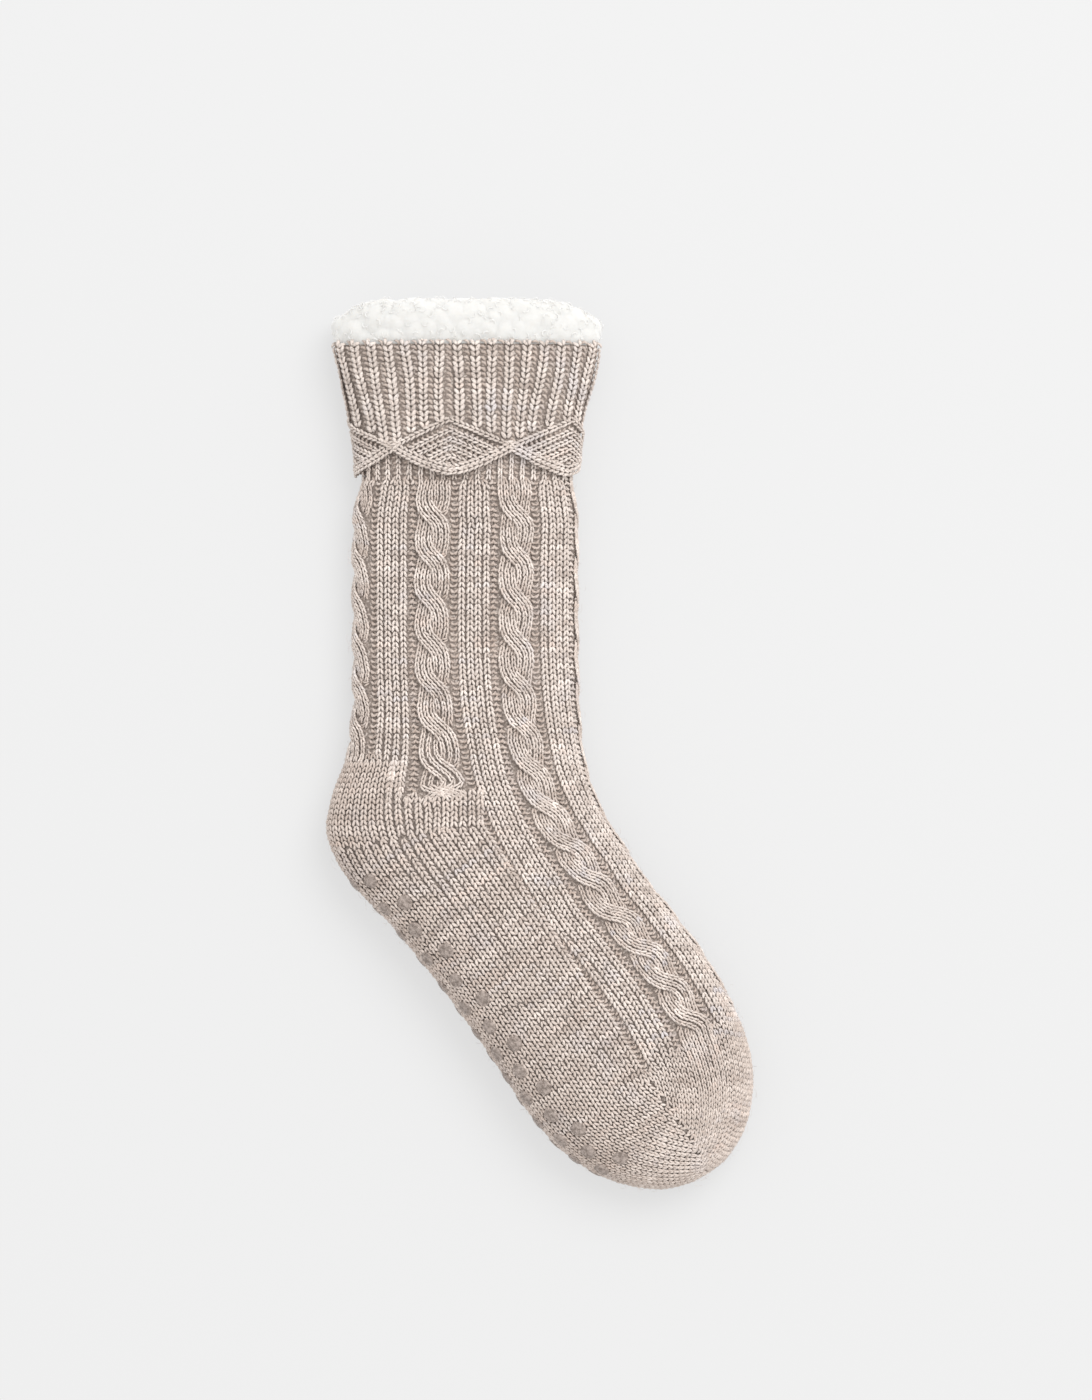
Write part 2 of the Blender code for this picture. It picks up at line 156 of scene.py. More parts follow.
Section = namedtuple("Section", "zone back_along back front_along front low high")
SECTIONS = (
    Section("rim", 1.00, 0.575, 1.00, 0.570, 0.00, 1.20),
    Section("rim", 0.50, 0.603, 0.50, 0.603, 0.00, 1.25),
    Section("leg", 1.00, 0.602, 1.00, 0.604, 0.00, 1.25),
    Section("leg", 0.92, 0.572, 0.92, 0.578, 0.00, 1.24),
    Section("leg", 0.82, 0.530, 0.82, 0.532, 0.00, 1.22),
    Section("leg", 0.74, 0.506, 0.74, 0.516, 0.00, 1.20),
    Section("leg", 0.66, 0.502, 0.66, 0.508, 0.00, 1.16),
    Section("leg", 0.56, 0.500, 0.56, 0.500, 0.00, 1.04),
    Section("leg", 0.40, 0.500, 0.40, 0.498, 0.00, 1.00),
    Section("leg", 0.22, 0.500, 0.22, 0.500, 0.00, 1.00),
    Section("leg", 0.10, 0.502, 0.10, 0.507, 0.00, 1.06),
    Section("leg", 0.01, 0.528, 0.02, 0.520, 0.00, 1.16),
    Section("heel", -0.03, 0.424, 0.21, 0.496, 0.00, 0.84),
    Section("heel", 0.02, 0.510, 0.25, 0.475, 0.00, 0.89),
    Section("heel", 0.09, 0.540, 0.28, 0.462, 0.00, 0.93),
    Section("heel", 0.16, 0.529, 0.31, 0.458, 0.00, 0.95),
    Section("heel", 0.22, 0.506, 0.34, 0.453, 0.00, 0.97),
    Section("instep", 0.29, 0.530, 0.38, 0.493, 0.00, 0.98),
    Section("instep", 0.40, 0.510, 0.44, 0.487, 0.00, 0.99),
    Section("ball", 0.48, 0.499, 0.50, 0.496, 0.00, 1.00),
    Section("ball", 0.55, 0.496, 0.56, 0.504, 0.00, 1.00),
    Section("ball", 0.62, 0.497, 0.625, 0.511, 0.00, 1.00),
    Section("ball", 0.69, 0.497, 0.69, 0.505, 0.00, 0.99),
    Section("ball", 0.75, 0.488, 0.74, 0.497, 0.00, 0.97),
    Section("ball", 0.81, 0.463, 0.80, 0.474, 0.00, 0.93),
    Section("ball", 0.863, 0.418, 0.857, 0.433, 0.01, 0.87),
    Section("ball", 0.910, 0.356, 0.908, 0.368, 0.04, 0.79),
    Section("ball", 0.948, 0.281, 0.950, 0.285, 0.10, 0.70),
    Section("ball", 0.977, 0.195, 0.981, 0.185, 0.19, 0.61),
    Section("ball", 0.994, 0.100, 0.997, 0.085, 0.30, 0.50),
    Section("ball", 1.000, 0.000, 1.000, 0.000, 0.40, 0.40),
)


def leg_place(along, out):
    """A point in the leg's frame: the ankle is the origin and the leg runs up."""
    return out * LEG_WIDTH, along * LEG_LENGTH


def rim_place(along, out):
    """A point above the fold, in heights of the rim."""
    return out * LEG_WIDTH, LEG_LENGTH + along * RIM_HEIGHT


def foot_place(width):
    """The way a foot section's points are placed: turned off the leg, set back, from the heel."""

    def place(along, out):
        forward, across = along * FOOT_LENGTH, out * width
        sine, cosine = math.sin(FOOT_TURN), math.cos(FOOT_TURN)
        return forward * sine + across * cosine - HEEL_SETBACK, across * sine - forward * cosine

    return place


ZONES = {
    "rim": (rim_place, LEG_THICKNESS),
    "leg": (leg_place, LEG_THICKNESS),
    "heel": (foot_place(HEEL_WIDTH), FOOT_THICKNESS),
    "instep": (foot_place(INSTEP_WIDTH), FOOT_THICKNESS),
    "ball": (foot_place(BALL_WIDTH), FOOT_THICKNESS),
}


def section_row(section):
    """One section in metres: back x and y, front x and y, low and high."""
    place, thickness = ZONES[section.zone]
    back = place(section.back_along, -section.back)
    front = place(section.front_along, section.front)
    return (*back, *front, section.low * thickness, section.high * thickness)


ROWS = np.array([section_row(section) for section in SECTIONS])


def knots_of(rows):
    """How far each section lies below the fold, as a mean of the outline's two edges."""
    steps = np.diff(rows, axis=0)
    back_steps = np.hypot(steps[:, 0], steps[:, 1])
    front_steps = np.hypot(steps[:, 2], steps[:, 3])
    knots = np.concatenate([[0.0], np.cumsum((back_steps + front_steps) / 2)])
    return knots - knots[FOLD_ROW]


KNOTS = knots_of(ROWS)
TIP = KNOTS[-1]


def slopes_of(rows, knots):
    """The slope of each column at each knot, from the chords on both sides of it."""
    spans = np.diff(knots)[:, None]
    chords = np.diff(rows, axis=0) / spans
    inner = (chords[:-1] * spans[1:] + chords[1:] * spans[:-1]) / (spans[1:] + spans[:-1])
    return np.vstack([chords[:1], inner, chords[-1:]])


SLOPES = slopes_of(ROWS, KNOTS)


def cubic(part, span, first, first_slope, last, last_slope):
    """A smooth curve between two knots, from the values and the slopes there."""
    square, cube = part**2, part**3
    return (
        (2 * cube - 3 * square + 1) * first
        + (cube - 2 * square + part) * span * first_slope
        + (3 * square - 2 * cube) * last
        + (cube - square) * span * last_slope
    )


def row_at(down):
    """The section at a distance down from the fold, on smooth curves through the table."""
    down = np.clip(down, KNOTS[0], TIP)
    index = np.clip(np.searchsorted(KNOTS, down, side="right") - 1, 0, len(KNOTS) - 2)
    span = (KNOTS[index + 1] - KNOTS[index])[..., None]
    part = (down - KNOTS[index])[..., None] / span
    return cubic(part, span, ROWS[index], SLOPES[index], ROWS[index + 1], SLOPES[index + 1])


def eased(value):
    value = np.clip(value, 0.0, 1.0)
    return value * value * (3 - 2 * value)


def cover(down):
    """How far the leg is drawn in under the cuff: one above the hem, nothing below it."""
    return eased((CUFF_DROP + HEM_EASE - down) / HEM_EASE)


def away_from(run, side):
    """Unit vectors across an edge of the outline, pointing out of it."""
    run = run / np.maximum(np.linalg.norm(run, axis=-1, keepdims=True), 1e-9)
    return side * np.stack([run[..., 1], -run[..., 0]], axis=-1)


def surface(angle, down, out):
    """Points of the sock: angle 0 is the front edge, and a quarter turn on is the top."""
    angle, down, out = np.broadcast_arrays(angle, down, out)
    change = row_at(down + PROBE) - row_at(down - PROBE)
    row = row_at(down)
    move = (out - CUFF_FACE * cover(down))[..., None]
    back = row[..., 0:2] + move * away_from(change[..., 0:2], 1)
    front = row[..., 2:4] + move * away_from(change[..., 2:4], -1)
    advance = np.linalg.norm(change[..., 0:2] + change[..., 2:4], axis=-1, keepdims=True) / 2
    upright = advance / np.hypot(advance, change[..., 4:6])
    low = row[..., 4] - move[..., 0] * upright[..., 0]
    high = row[..., 5] + move[..., 0] * upright[..., 1]
    cosine, sine = np.cos(angle), np.sin(angle)
    power = np.where(sine >= 0, 2 / UPPER_SQUARENESS, 2 / LOWER_SQUARENESS)
    across = np.sign(cosine) * np.abs(cosine) ** power
    rise = np.abs(sine) ** power
    edge = low + EDGE_LEVEL * (high - low)
    pressed = np.maximum(low, edge - PRESSED * (edge - low) * rise)
    height = np.where(sine >= 0, edge + (high - edge) * rise, pressed)
    plan = (front + back) / 2 + across[..., None] * (front - back) / 2
    return np.concatenate([plan, height[..., None]], axis=-1) + ANKLE


TURN = np.linspace(0, 2 * math.pi, ARC_SAMPLES + 1)
GRID_DOWNS = np.linspace(KNOTS[0], TIP - 0.0004, 320)
GRID_POINTS = surface(TURN[None, :], GRID_DOWNS[:, None], 0.0)
GRID_STEPS = np.linalg.norm(np.diff(GRID_POINTS, axis=1), axis=2)
GRID_AROUND = np.concatenate([np.zeros((len(GRID_DOWNS), 1)), np.cumsum(GRID_STEPS, axis=1)], axis=1)
GRID_GIRTHS = GRID_AROUND[:, -1]
SHARES = np.linspace(0, 1, 2 * ARC_SAMPLES + 1)
GRID_ANGLES = np.array([np.interp(SHARES, row / row[-1], TURN) for row in GRID_AROUND])


def girth(down):
    return np.interp(down, GRID_DOWNS, GRID_GIRTHS)


def angle_at(down, distance):
    """The angle that lies at a distance around from the front edge."""
    down, distance = np.broadcast_arrays(down, distance)
    share = np.mod(distance / girth(down), 1.0) * (len(SHARES) - 1)
    row = (down - GRID_DOWNS[0]) / (GRID_DOWNS[1] - GRID_DOWNS[0])
    row = np.clip(row, 0, len(GRID_DOWNS) - 1.001)
    above, left = row.astype(int), np.minimum(share.astype(int), len(SHARES) - 2)
    lower, right = row - above, share - left
    first = GRID_ANGLES[above, left] * (1 - right) + GRID_ANGLES[above, left + 1] * right
    second = GRID_ANGLES[above + 1, left] * (1 - right) + GRID_ANGLES[above + 1, left + 1] * right
    return first * (1 - lower) + second * lower


def normals_at(angle, down):
    """Unit vectors out of the sock's surface."""
    around = surface(angle + 0.03, down, 0.0) - surface(angle - 0.03, down, 0.0)
    along = surface(angle, down + 0.0015, 0.0) - surface(angle, down - 0.0015, 0.0)
    normal = np.cross(around, along)
    return normal / np.maximum(np.linalg.norm(normal, axis=-1, keepdims=True), 1e-12)


PERIOD = float(girth((CUFF_DROP + HEM_EASE + LEG_LENGTH) / 2)) / REPEATS


def from_ridge(repeats):
    """Repeats counted both ways from the cable on the front ridge."""
    return np.where(repeats > REPEATS / 2, repeats - REPEATS, repeats)


def ridge_shift(down):
    """How far the pattern is turned round the sock towards its underside."""
    turned = eased((down - LEG_LENGTH) / INSTEP_WIDTH + 0.5)
    return LEG_RIDGE_SHIFT + (FOOT_RIDGE_SHIFT - LEG_RIDGE_SHIFT) * turned


def knit_distance(down, repeats):
    """Where a column of the cable pattern runs: the instep keeps its gauge, the sole spreads."""
    half = girth(down) / 2
    gauge = np.minimum(PERIOD, half * 2 / REPEATS)
    instep = INSTEP_REPEATS * gauge
    size = np.abs(repeats)
    rest = (size - INSTEP_REPEATS) / (REPEATS / 2 - INSTEP_REPEATS)
    distance = np.where(size < INSTEP_REPEATS, size * gauge, instep + rest * (half - instep))
    return np.copysign(distance, repeats) - ridge_shift(down) * gauge / PERIOD


def arc_along(points):
    """How far along a line each of its points lies."""
    return np.concatenate([[0.0], np.cumsum(np.linalg.norm(np.diff(points, axis=0), axis=1))])


def cable_arcs():
    """How far along itself each cable has run at every row of the grid."""
    arcs = {}
    for cable in CABLES:
        angles = angle_at(GRID_DOWNS, knit_distance(GRID_DOWNS, float(cable)))
        arc = arc_along(surface(angles, GRID_DOWNS, 0.0))
        arcs[cable] = arc - np.interp(FIRST_CROSSING, GRID_DOWNS, arc)
    return arcs


CABLE_ARCS = cable_arcs()


def cable_phase(cable, down):
    """Half a turn for each crossing. At a quarter turn the first strand lies across the top."""
    arc = np.interp(down, GRID_DOWNS, CABLE_ARCS[cable])
    return math.pi * (arc / CABLE_PITCH + 0.5)


def heel_pattern_end(cable):
    return HEEL_PATTERN_ENDS.get(abs(cable), HEEL_PATTERN_ELSEWHERE)


def pattern_weight(cable, offset, down):
    """One where the cable pattern is knitted, nothing where the knit is plain."""
    on_instep = np.abs(cable + offset / PERIOD) < INSTEP_REPEATS
    end = np.where(on_instep, INSTEP_PATTERN_END, heel_pattern_end(cable))
    return eased((end - down) / PATTERN_FADE + 0.5) * eased((down - HEM_RIB_END) / HEM_FADE + 0.5)


def strand_path(cable, strand, down):
    """Where one strand of a cable runs: its sway off the middle, its lift and its level."""
    phase = cable_phase(cable, down)
    sway, lift = strand * np.cos(phase), strand * np.sin(phase)
    over = 1.32 * sway - 0.32 * sway**3
    under = np.sign(sway) * np.abs(sway) ** 0.4
    level = np.where(lift > 0, 0.45 + 0.55 * lift, np.maximum(0.45 + 0.9 * lift, -0.1))
    return STRAND_SWING * np.where(lift > 0, over, under), lift, level


def cable_share(cable):
    """The cable on the front edge is pressed flatter than the others."""
    return 0.45 if cable == 0 else 1.0


def strand_height(offset, cable, down, rise):
    """The height of a cable's face: two strands that wind round each other."""
    heights = []
    for strand in (-1, 1):
        sway, _, level = strand_path(cable, strand, down)
        heights.append(level * np.sqrt(np.maximum(0, 1 - ((offset - sway) / STRAND_HALF) ** 2)))
    return rise * cable_share(cable) * np.maximum(0, np.maximum(*heights))


Wale = namedtuple("Wale", "cable kind pattern plain strand")
WALE_LAYOUT = (
    ("cable", 0.00145, 1),
    ("cable", 0.00435, 1),
    ("cable", 0.00725, 1),
    ("purl", 0.00945, 0),
    ("purl", 0.01115, 0),
    ("panel", 0.01405, 0),
    ("panel", 0.01808, 0),
)


def pattern_wales():
    """The fourteen wales of each repeat, as distances from the middle of its cable."""
    return [
        Wale(cable, kind, side * pattern, side * (number + 0.5) * PERIOD / WALES, side * strand)
        for cable in CABLES
        for number, (kind, pattern, strand) in enumerate(WALE_LAYOUT)
        for side in (-1, 1)
    ]


def runs(position, length, seed):
    """A value that drifts slowly along the yarn."""
    values = np.random.default_rng(seed).normal(size=4000)
    return np.interp(np.mod(position / length, 3999.0), np.arange(4000), values)


STITCH, COARSE, PURL, BRAID = 0, 1, 2, 3
NO_STITCHES = np.zeros((0, 13))
PLANTING_LAYERS = {
    "turn": ("FLOAT_VECTOR", "vector", np.float32),
    "size": ("FLOAT_VECTOR", "vector", np.float32),
    "kind": ("INT", "value", np.int32),
}


def stitch_table(place, along, normal, width, kind, order, shade):
    """A row for each stitch: its place, direction and normal, its width, its kind, its order along the
    yarn and its painted shade.
    """
    single = [np.broadcast_to(value, len(place)) for value in (width, kind, order, shade)]
    return np.column_stack([place, along, normal, *single])


def run_of(downs, distances, heights):
    """A line on the sock: its angles, its points and how far along it they lie."""
    angles = np.unwrap(angle_at(downs, distances))
    points = surface(angles, downs, heights)
    return angles, points, arc_along(points)


def seats(at, arc, points, angles, downs):
    """Places, directions and normals of the stitches at distances along a line."""
    directions = normed(np.gradient(points, axis=0))
    place, along = (
        np.column_stack([np.interp(at, arc, line[:, i]) for i in range(3)])
        for line in (points, directions)
    )
    place[:, 2] = np.maximum(place[:, 2], STITCH_FLOOR)
    normal = normals_at(np.interp(at, arc, angles), np.interp(at, arc, downs))
    return place, normed(along), normal


def stitch_kind(normal, purl, shape=STITCH):
    """Purl bumps, whole stitches, and coarse ones where the sock turns to the floor."""
    return np.where(purl, PURL, np.where(normal[:, 2] > FACING_LIMIT, shape, COARSE))


def normed(vectors):
    return vectors / np.maximum(np.linalg.norm(vectors, axis=1, keepdims=True), 1e-12)


def lay_wale(
    number,
    downs,
    distances,
    heights,
    settings,
    reference,
    width,
    purl=0.0,
    shade=1.0,
    keep=1.0,
    slant=1,
    shape=STITCH,
    flip=1,
    order=0,
):
    """Stitches at an even gauge along one wale, counted both ways from its reference."""
    angles, points, arc = run_of(downs, distances, heights)
    if arc[-1] < settings.row_height:
        return NO_STITCHES
    start = float(np.interp(reference, downs, arc))
    first = math.ceil(-start / settings.row_height)
    last = math.floor((arc[-1] - start) / settings.row_height)
    index = np.arange(first, last + 1)
    at = start + index * settings.row_height

    def there(values):
        return np.interp(at, arc, np.broadcast_to(values, arc.shape))

    place, along, normal = seats(at, arc, points, angles, downs)
    bumped = there(purl) > 0.5
    side = normed(np.cross(along, normal))
    sway = np.where(bumped, settings.purl_sway * (2 * (index % 2) - 1), 0.0)[:, None]
    lean = np.where(bumped, PURL_SLANT * slant, 0.0)[:, None]
    table = stitch_table(
        place + side * sway,
        (along * np.cos(lean) + side * np.sin(lean)) * flip,
        normal,
        there(width),
        stitch_kind(normal, bumped, shape),
        index * 97.0 + number + order,
        there(shade),
    )
    return table[there(keep) > 0.5]


def instep_and_leg(settings):
    """The wales with the cable pattern: the whole leg, and the instep up to the toe's seam."""
    tables = []
    gauge = PERIOD / WALES
    for number, wale in enumerate(pattern_wales()):
        middle = wale.cable + wale.plain / PERIOD
        on_instep = abs(float(from_ridge(np.array(middle)))) < INSTEP_REPEATS
        end = TIP - TOE_KNOT if on_instep else heel_start(wale.cable)
        downs = np.arange(HEM_RIB_START, end, 0.0008)
        weight = pattern_weight(wale.cable, wale.pattern, downs)
        offset = wale.plain + (wale.pattern - wale.plain) * weight
        height, keep, shade, width = 0.0, 1.0, 1.0, gauge
        if wale.kind == "cable":
            swing, lift, level = strand_path(wale.cable, wale.strand, downs)
            inner = wale.pattern - wale.strand * STRAND_SWING
            slant = np.gradient(swing, np.interp(downs, GRID_DOWNS, CABLE_ARCS[wale.cable]))
            braided = swing + inner * np.minimum(np.hypot(1, slant), 1.5)
            offset = offset * (1 - weight) + braided * weight
            arch = 1 - (inner / 0.0046) ** 2
            raised = settings.cable_rise * cable_share(wale.cable) * (level - 0.22 * (1 - arch))
            height = weight * raised
            over = strand_path(wale.cable, -wale.strand, downs)[0]
            under = (lift < -0.10) & (np.abs(braided - over) < STRAND_COVER)
            keep = np.where(under & (weight > 0.5), 0.0, 1.0)
            width = gauge + (CABLE_STITCH - gauge) * weight
            # Painted shade: the strand that runs under the other is darkened.
            shade = 1 - 0.36 * weight * np.clip(-lift, 0, 1)
        if wale.kind == "panel":
            width = gauge + (PANEL_STITCH - gauge) * weight
        slot = math.floor(wale.plain / gauge)
        ribbed = (slot % 2) * (1 - eased((downs - HEM_RIB_END) / HEM_FADE + 0.5))
        purl = weight * (wale.kind == "purl") + ribbed
        height = height - settings.purl_depth * purl * cable_share(wale.cable)
        width = width * (1 - purl) + PURL_STITCH * purl
        # Painted shade: purl columns are darkened, less so beside the front edge's cable, and all the
        # yarn darkens towards the toe.
        tone = 0.9 if wale.cable == 0 else settings.purl_shade_tone
        shade = shade * (1 - (1 - tone) * purl) - 0.22 * eased((downs - TOE_START + 0.004) / 0.012)
        distance = knit_distance(downs, from_ridge(wale.cable + offset / PERIOD))
        if on_instep:
            start = float(np.interp(TOE_START, downs, distance))
            distance = np.where(downs > TOE_START, start, distance)
            half = girth(downs) / 2
            seam = np.where(distance > 0, TOE_SEAM[0] * half, TOE_SEAM[1] * half)
            keep = np.where((downs < TOE_START) | (np.abs(distance) < seam - SEAM_GAP), keep, 0.0)
        narrowed = girth(np.minimum(downs, TOE_START)) / REPEATS / PERIOD
        tables.append(
            lay_wale(
                number,
                downs,
                distance,
                height - STITCH_SEAT,
                settings,
                reference=HEM_RIB_END,
                width=width * np.minimum(1, narrowed),
                purl=purl,
                shade=shade,
                keep=keep,
                slant=-1 if abs(wale.pattern) > PURL_GROOVE else 1,
                shape=BRAID if wale.kind == "cable" else STITCH,
            )
        )
    return np.vstack(tables)


def heel_start(cable):
    return heel_pattern_end(cable) + PATTERN_FADE / 2


def straightened(downs, distances, upper):
    """Turns a wale of the heel's side into a straight run down the leg, or along the foot."""
    turn = np.array([1.0, 0.0] if upper else [math.cos(FOOT_TURN), math.sin(FOOT_TURN)])
    side = slice(0, ARC_SAMPLES // 2 + 1)
    first, last = (surface(angle_at(downs[i], distances[i]), downs[i], 0.0)[:2] @ turn for i in (0, -1))
    first = last if upper else first
    result = distances.copy()
    for i, down in enumerate(downs):
        row = int(np.argmin(np.abs(GRID_DOWNS - down)))
        across = GRID_POINTS[row, side, :2] @ turn
        aim = first + (last - first) * (down - downs[0]) / (downs[-1] - downs[0])
        result[i] = np.interp(-aim, -across, GRID_AROUND[row, side])
    return result


def gore_share(distance):
    """How far a wale takes part in the heel's gore: the middle of the side, not the back."""
    near = eased((distance - GORE_SPAN[0]) / 0.008 + 0.5)
    far = eased((GORE_SPAN[1] + 0.012 - distance) / 0.024)
    return near * far


def sole_edge(down):
    """The distances around at which the instep's knit ends, on top and on the underside."""
    half = girth(down) / 2
    gauge = np.minimum(PERIOD, half * 2 / REPEATS)
    instep = INSTEP_REPEATS * gauge
    shift = ridge_shift(down) * gauge / PERIOD
    return instep - shift, girth(down) - instep - shift


def heel_wale(downs, distance):
    """A wale above the gore line: where it runs and where it is knitted."""
    near_back = abs(distance[0]) < 0.096 or distance[0] > girth(downs[0]) - 0.104
    keep = np.where(downs > heel_start(2 if near_back else 3) - 0.0035, 1.0, 0.0)
    taking = gore_share(distance[-1])
    if taking > 0:
        distance = distance + taking * (straightened(downs, distance, True) - distance)
    return distance, keep


def sole_wale(downs, distance):
    """A wale below the gore line: it runs on into the toe and ends at the seam there."""
    taking = gore_share(distance[0])
    bent = downs < STRAIGHT_TO
    if taking > 0:
        plain = distance[bent]
        distance[bent] = plain + taking * (straightened(downs[bent], plain, False) - plain)
    half = girth(downs) / 2
    begin = float(np.interp(TOE_START, downs, distance - half))
    distance = np.where(downs > TOE_START, half + begin, distance)
    seam_top, seam_low = TOE_SEAM[0] * half, 2 * half - TOE_SEAM[1] * half
    inside = (distance > seam_top + SEAM_GAP) & (distance < seam_low - SEAM_GAP)
    return distance, np.where((downs < TOE_START) | inside, 1.0, 0.0)


def heel_and_sole(settings):
    """The plain wales of the heel above its gore line, and of the heel cup and sole below it."""
    tables = []
    for way, count, start, end, reference in (
        (heel_wale, settings.heel_wales, HEEL_TOP, GORE_ROW + 0.0012, HEEL_TOP),
        (sole_wale, settings.sole_wales, GORE_ROW + 0.0002, TIP - TOE_KNOT, STRAIGHT_TO),
    ):
        downs = np.arange(start, end, 0.0009)
        near, far = sole_edge(downs)
        shares = [(number + 0.5) / count for number in range(count)]
        wales = [way(downs, near + (far - near) * share) for share in shares]
        spacing = np.gradient(np.array([distance for distance, keep in wales]), axis=0)
        for number, (distance, keep) in enumerate(wales):
            turned = np.abs(2 * distance / girth(downs) - 1)
            tables.append(
                lay_wale(
                    number,
                    downs,
                    distance,
                    -STITCH_SEAT,
                    settings,
                    reference=reference,
                    width=np.clip(0.99 * spacing[number], 0.0021, 0.0040),
                    # Painted shade: the heel and sole yarn is darkened, more towards the sole's edge.
                    shade=0.82 - 0.20 * eased((0.42 - turned) / 0.36),
                    keep=keep,
                    order=40,
                )
            )
    return np.vstack(tables)


def diamond_wave(around):
    """For shares of the way round: nothing at a diamond's middle, one between two diamonds."""
    around = np.mod(around, 1.0)
    places = np.array(DIAMOND_PLACES)
    ends = np.append(places, places[0] + 1)
    turned = np.where(around < places[0], around + 1, around)
    index = np.clip(np.searchsorted(ends, turned, side="right") - 1, 0, len(places) - 1)
    part = (turned - ends[index]) / (ends[index + 1] - ends[index])
    return 1 - np.abs(2 * part - 1)


def hem_line(around):
    return CUFF_DROP - SCALLOP_DEPTH * diamond_wave(around) ** 1.5


def border_line(around):
    return DIAMOND_PEAK + (DIAMOND_VALLEY - DIAMOND_PEAK) * diamond_wave(around)


def pleat(around, down):
    """Soft sideways waves of the cuff where its slack gathers."""
    depth = eased(down / 0.02) * eased((0.050 - down) / 0.02)
    swing = np.sin(2 * math.pi * (around * 7 + 0.12)) * np.exp(-(((around - 0.31) / 0.075) ** 2))
    return (0.0008 * swing + 0.0005 * np.sin(2 * math.pi * around * 11)) * depth


def tuck(around, down):
    """Soft ripples that run round the cuff below its fold."""
    return 0.0007 * np.cos(2 * math.pi * around * 9 + down * 60) * eased(down / 0.015)


def cuff_ribs(settings):
    """The ribs of the cuff, from the fold down to the border of diamonds."""
    tables = []
    for number in range(2 * RIBS):
        around, purl = number / (2 * RIBS), float(number % 2)
        end = float(border_line(around)) - 0.0012
        downs = np.arange(-0.0012, end, 0.0006)
        slope = np.sign(float(diamond_wave(around + 0.004) - diamond_wave(around - 0.004)))
        fan = 0.0016 * slope * eased(downs / end) ** 2 * (1 - abs(2 * float(diamond_wave(around)) - 1))
        fold = np.clip(-downs / 0.0012, 0, 1)
        height = CUFF_FACE - STITCH_SEAT - 0.0009 * purl + tuck(around, downs) - 0.0022 * fold
        tables.append(
            lay_wale(
                number,
                downs,
                girth(downs) * around + fan + pleat(around, downs),
                height,
                settings,
                reference=0.0,
                width=0.0051 - 0.0008 * purl,
                purl=purl,
                # Painted shade: the sunken purl ribs are darkened.
                shade=1 - (1 - settings.purl_shade_tone) * purl,
                flip=-1,
                order=60,
            )
        )
    return np.vstack(tables)


def lay_band(number, line, out, width, settings, shade=1.0, purl=False, inside=False):
    """A wale that runs round the cuff along a line, such as an edge of its diamonds."""
    around = np.linspace(0, 1, 900)
    downs = line(around)
    angles, points, arc = run_of(downs, girth(downs) * around, CUFF_FACE - STITCH_SEAT + out)
    count = round(arc[-1] / settings.row_height)
    at = (np.arange(count) + 0.5) / count * arc[-1]
    place, along, normal = seats(at, arc, points, angles, downs)
    kind = stitch_kind(normal, purl)
    table = stitch_table(place, along, normal, width, kind, np.arange(count) + 700.0 * number, shade)
    if not inside:
        return table
    share = np.interp(at, arc, around)
    return table[line(share) < hem_line(share) - HEM_ROOM]


def cuff_border(settings):
    """The zigzag edge, the nested chevrons inside the diamonds and the rolled, scalloped hem."""
    tables = [lay_band(1, border_line, 0.0007, 0.0031, settings)]
    for number in range(CHEVRONS):
        purl = number % 2 == 0
        # Painted shade: the sunken purl rows between the chevrons are darkened.
        width, shade, out = (0.0022, 0.62, -0.0004) if purl else (0.0030, 1.0, 0.0004)

        def chevron(around, step=0.0032 + 0.0020 * number):
            return border_line(around) + step

        tables.append(lay_band(2 + number, chevron, out, width, settings, shade, purl, inside=True))
    for number, (rise, out) in enumerate(((0.0032, 0.0004), (0.0008, 0.0002))):

        def hem_row(around, rise=rise):
            return hem_line(around) - rise

        tables.append(lay_band(20 + number, hem_row, out, 0.0034, settings))
    return np.vstack(tables)


def spindle(points, radii, sides, flat):
    """Vertices and faces of a closed strand with a point at each end."""
    points = [np.array(point) for point in points]
    vertices, faces = [points[0]], []
    for i in range(1, len(points) - 1):
        run = points[i + 1] - points[i - 1]
        across = np.cross(run, (0, 0, 1))
        across = across / np.linalg.norm(across)
        up = np.cross(across, run)
        up = up / np.linalg.norm(up)
        for side in range(sides):
            turn = 2 * math.pi * side / sides
            lift = math.sin(turn) * (1.0 if math.sin(turn) > 0 else flat)
            vertices.append(points[i] + radii[i] * (math.cos(turn) * across + lift * up))
    vertices.append(points[-1])
    rings = len(points) - 2
    for side in range(sides):
        following = (side + 1) % sides
        faces.append((0, 1 + following, 1 + side))
        for ring in range(rings - 1):
            near, far = 1 + ring * sides, 1 + (ring + 1) * sides
            faces.append((near + side, near + following, far + following, far + side))
        last = 1 + (rings - 1) * sides
        faces.append((last + side, last + following, len(vertices) - 1))
    return vertices, faces


def turn_outwards(mesh, data):
    """Turns a closed mesh's faces outwards and writes it to its data, shaded smooth."""
    bmesh.ops.recalc_face_normals(mesh, faces=mesh.faces)
    if mesh.calc_volume(signed=True) < 0:
        bmesh.ops.reverse_faces(mesh, faces=mesh.faces)
    mesh.to_mesh(data)
    mesh.free()
    data.shade_smooth()


def shape_object(name, parts):
    """An object for instancing, made of several closed strands."""
    vertices, faces = [], []
    for more_vertices, more_faces in parts:
        first = len(vertices)
        vertices += [tuple(v) for v in more_vertices]
        faces += [tuple(first + i for i in face) for face in more_faces]
    data = bpy.data.meshes.new(name)
    data.from_pydata(vertices, [], faces)
    data.validate()
    mesh = bmesh.new()
    mesh.from_mesh(data)
    turn_outwards(mesh, data)
    return bpy.data.objects.new(name, data)


def strand(path, radii, sides, side=1, flat=0.7):
    """A closed strand with its sizes in millimetres, mirrored where side is minus one."""
    points = [(side * MM * x, MM * y, MM * z) for x, y, z in path]
    return spindle(points, [MM * radius for radius in radii], sides, flat)


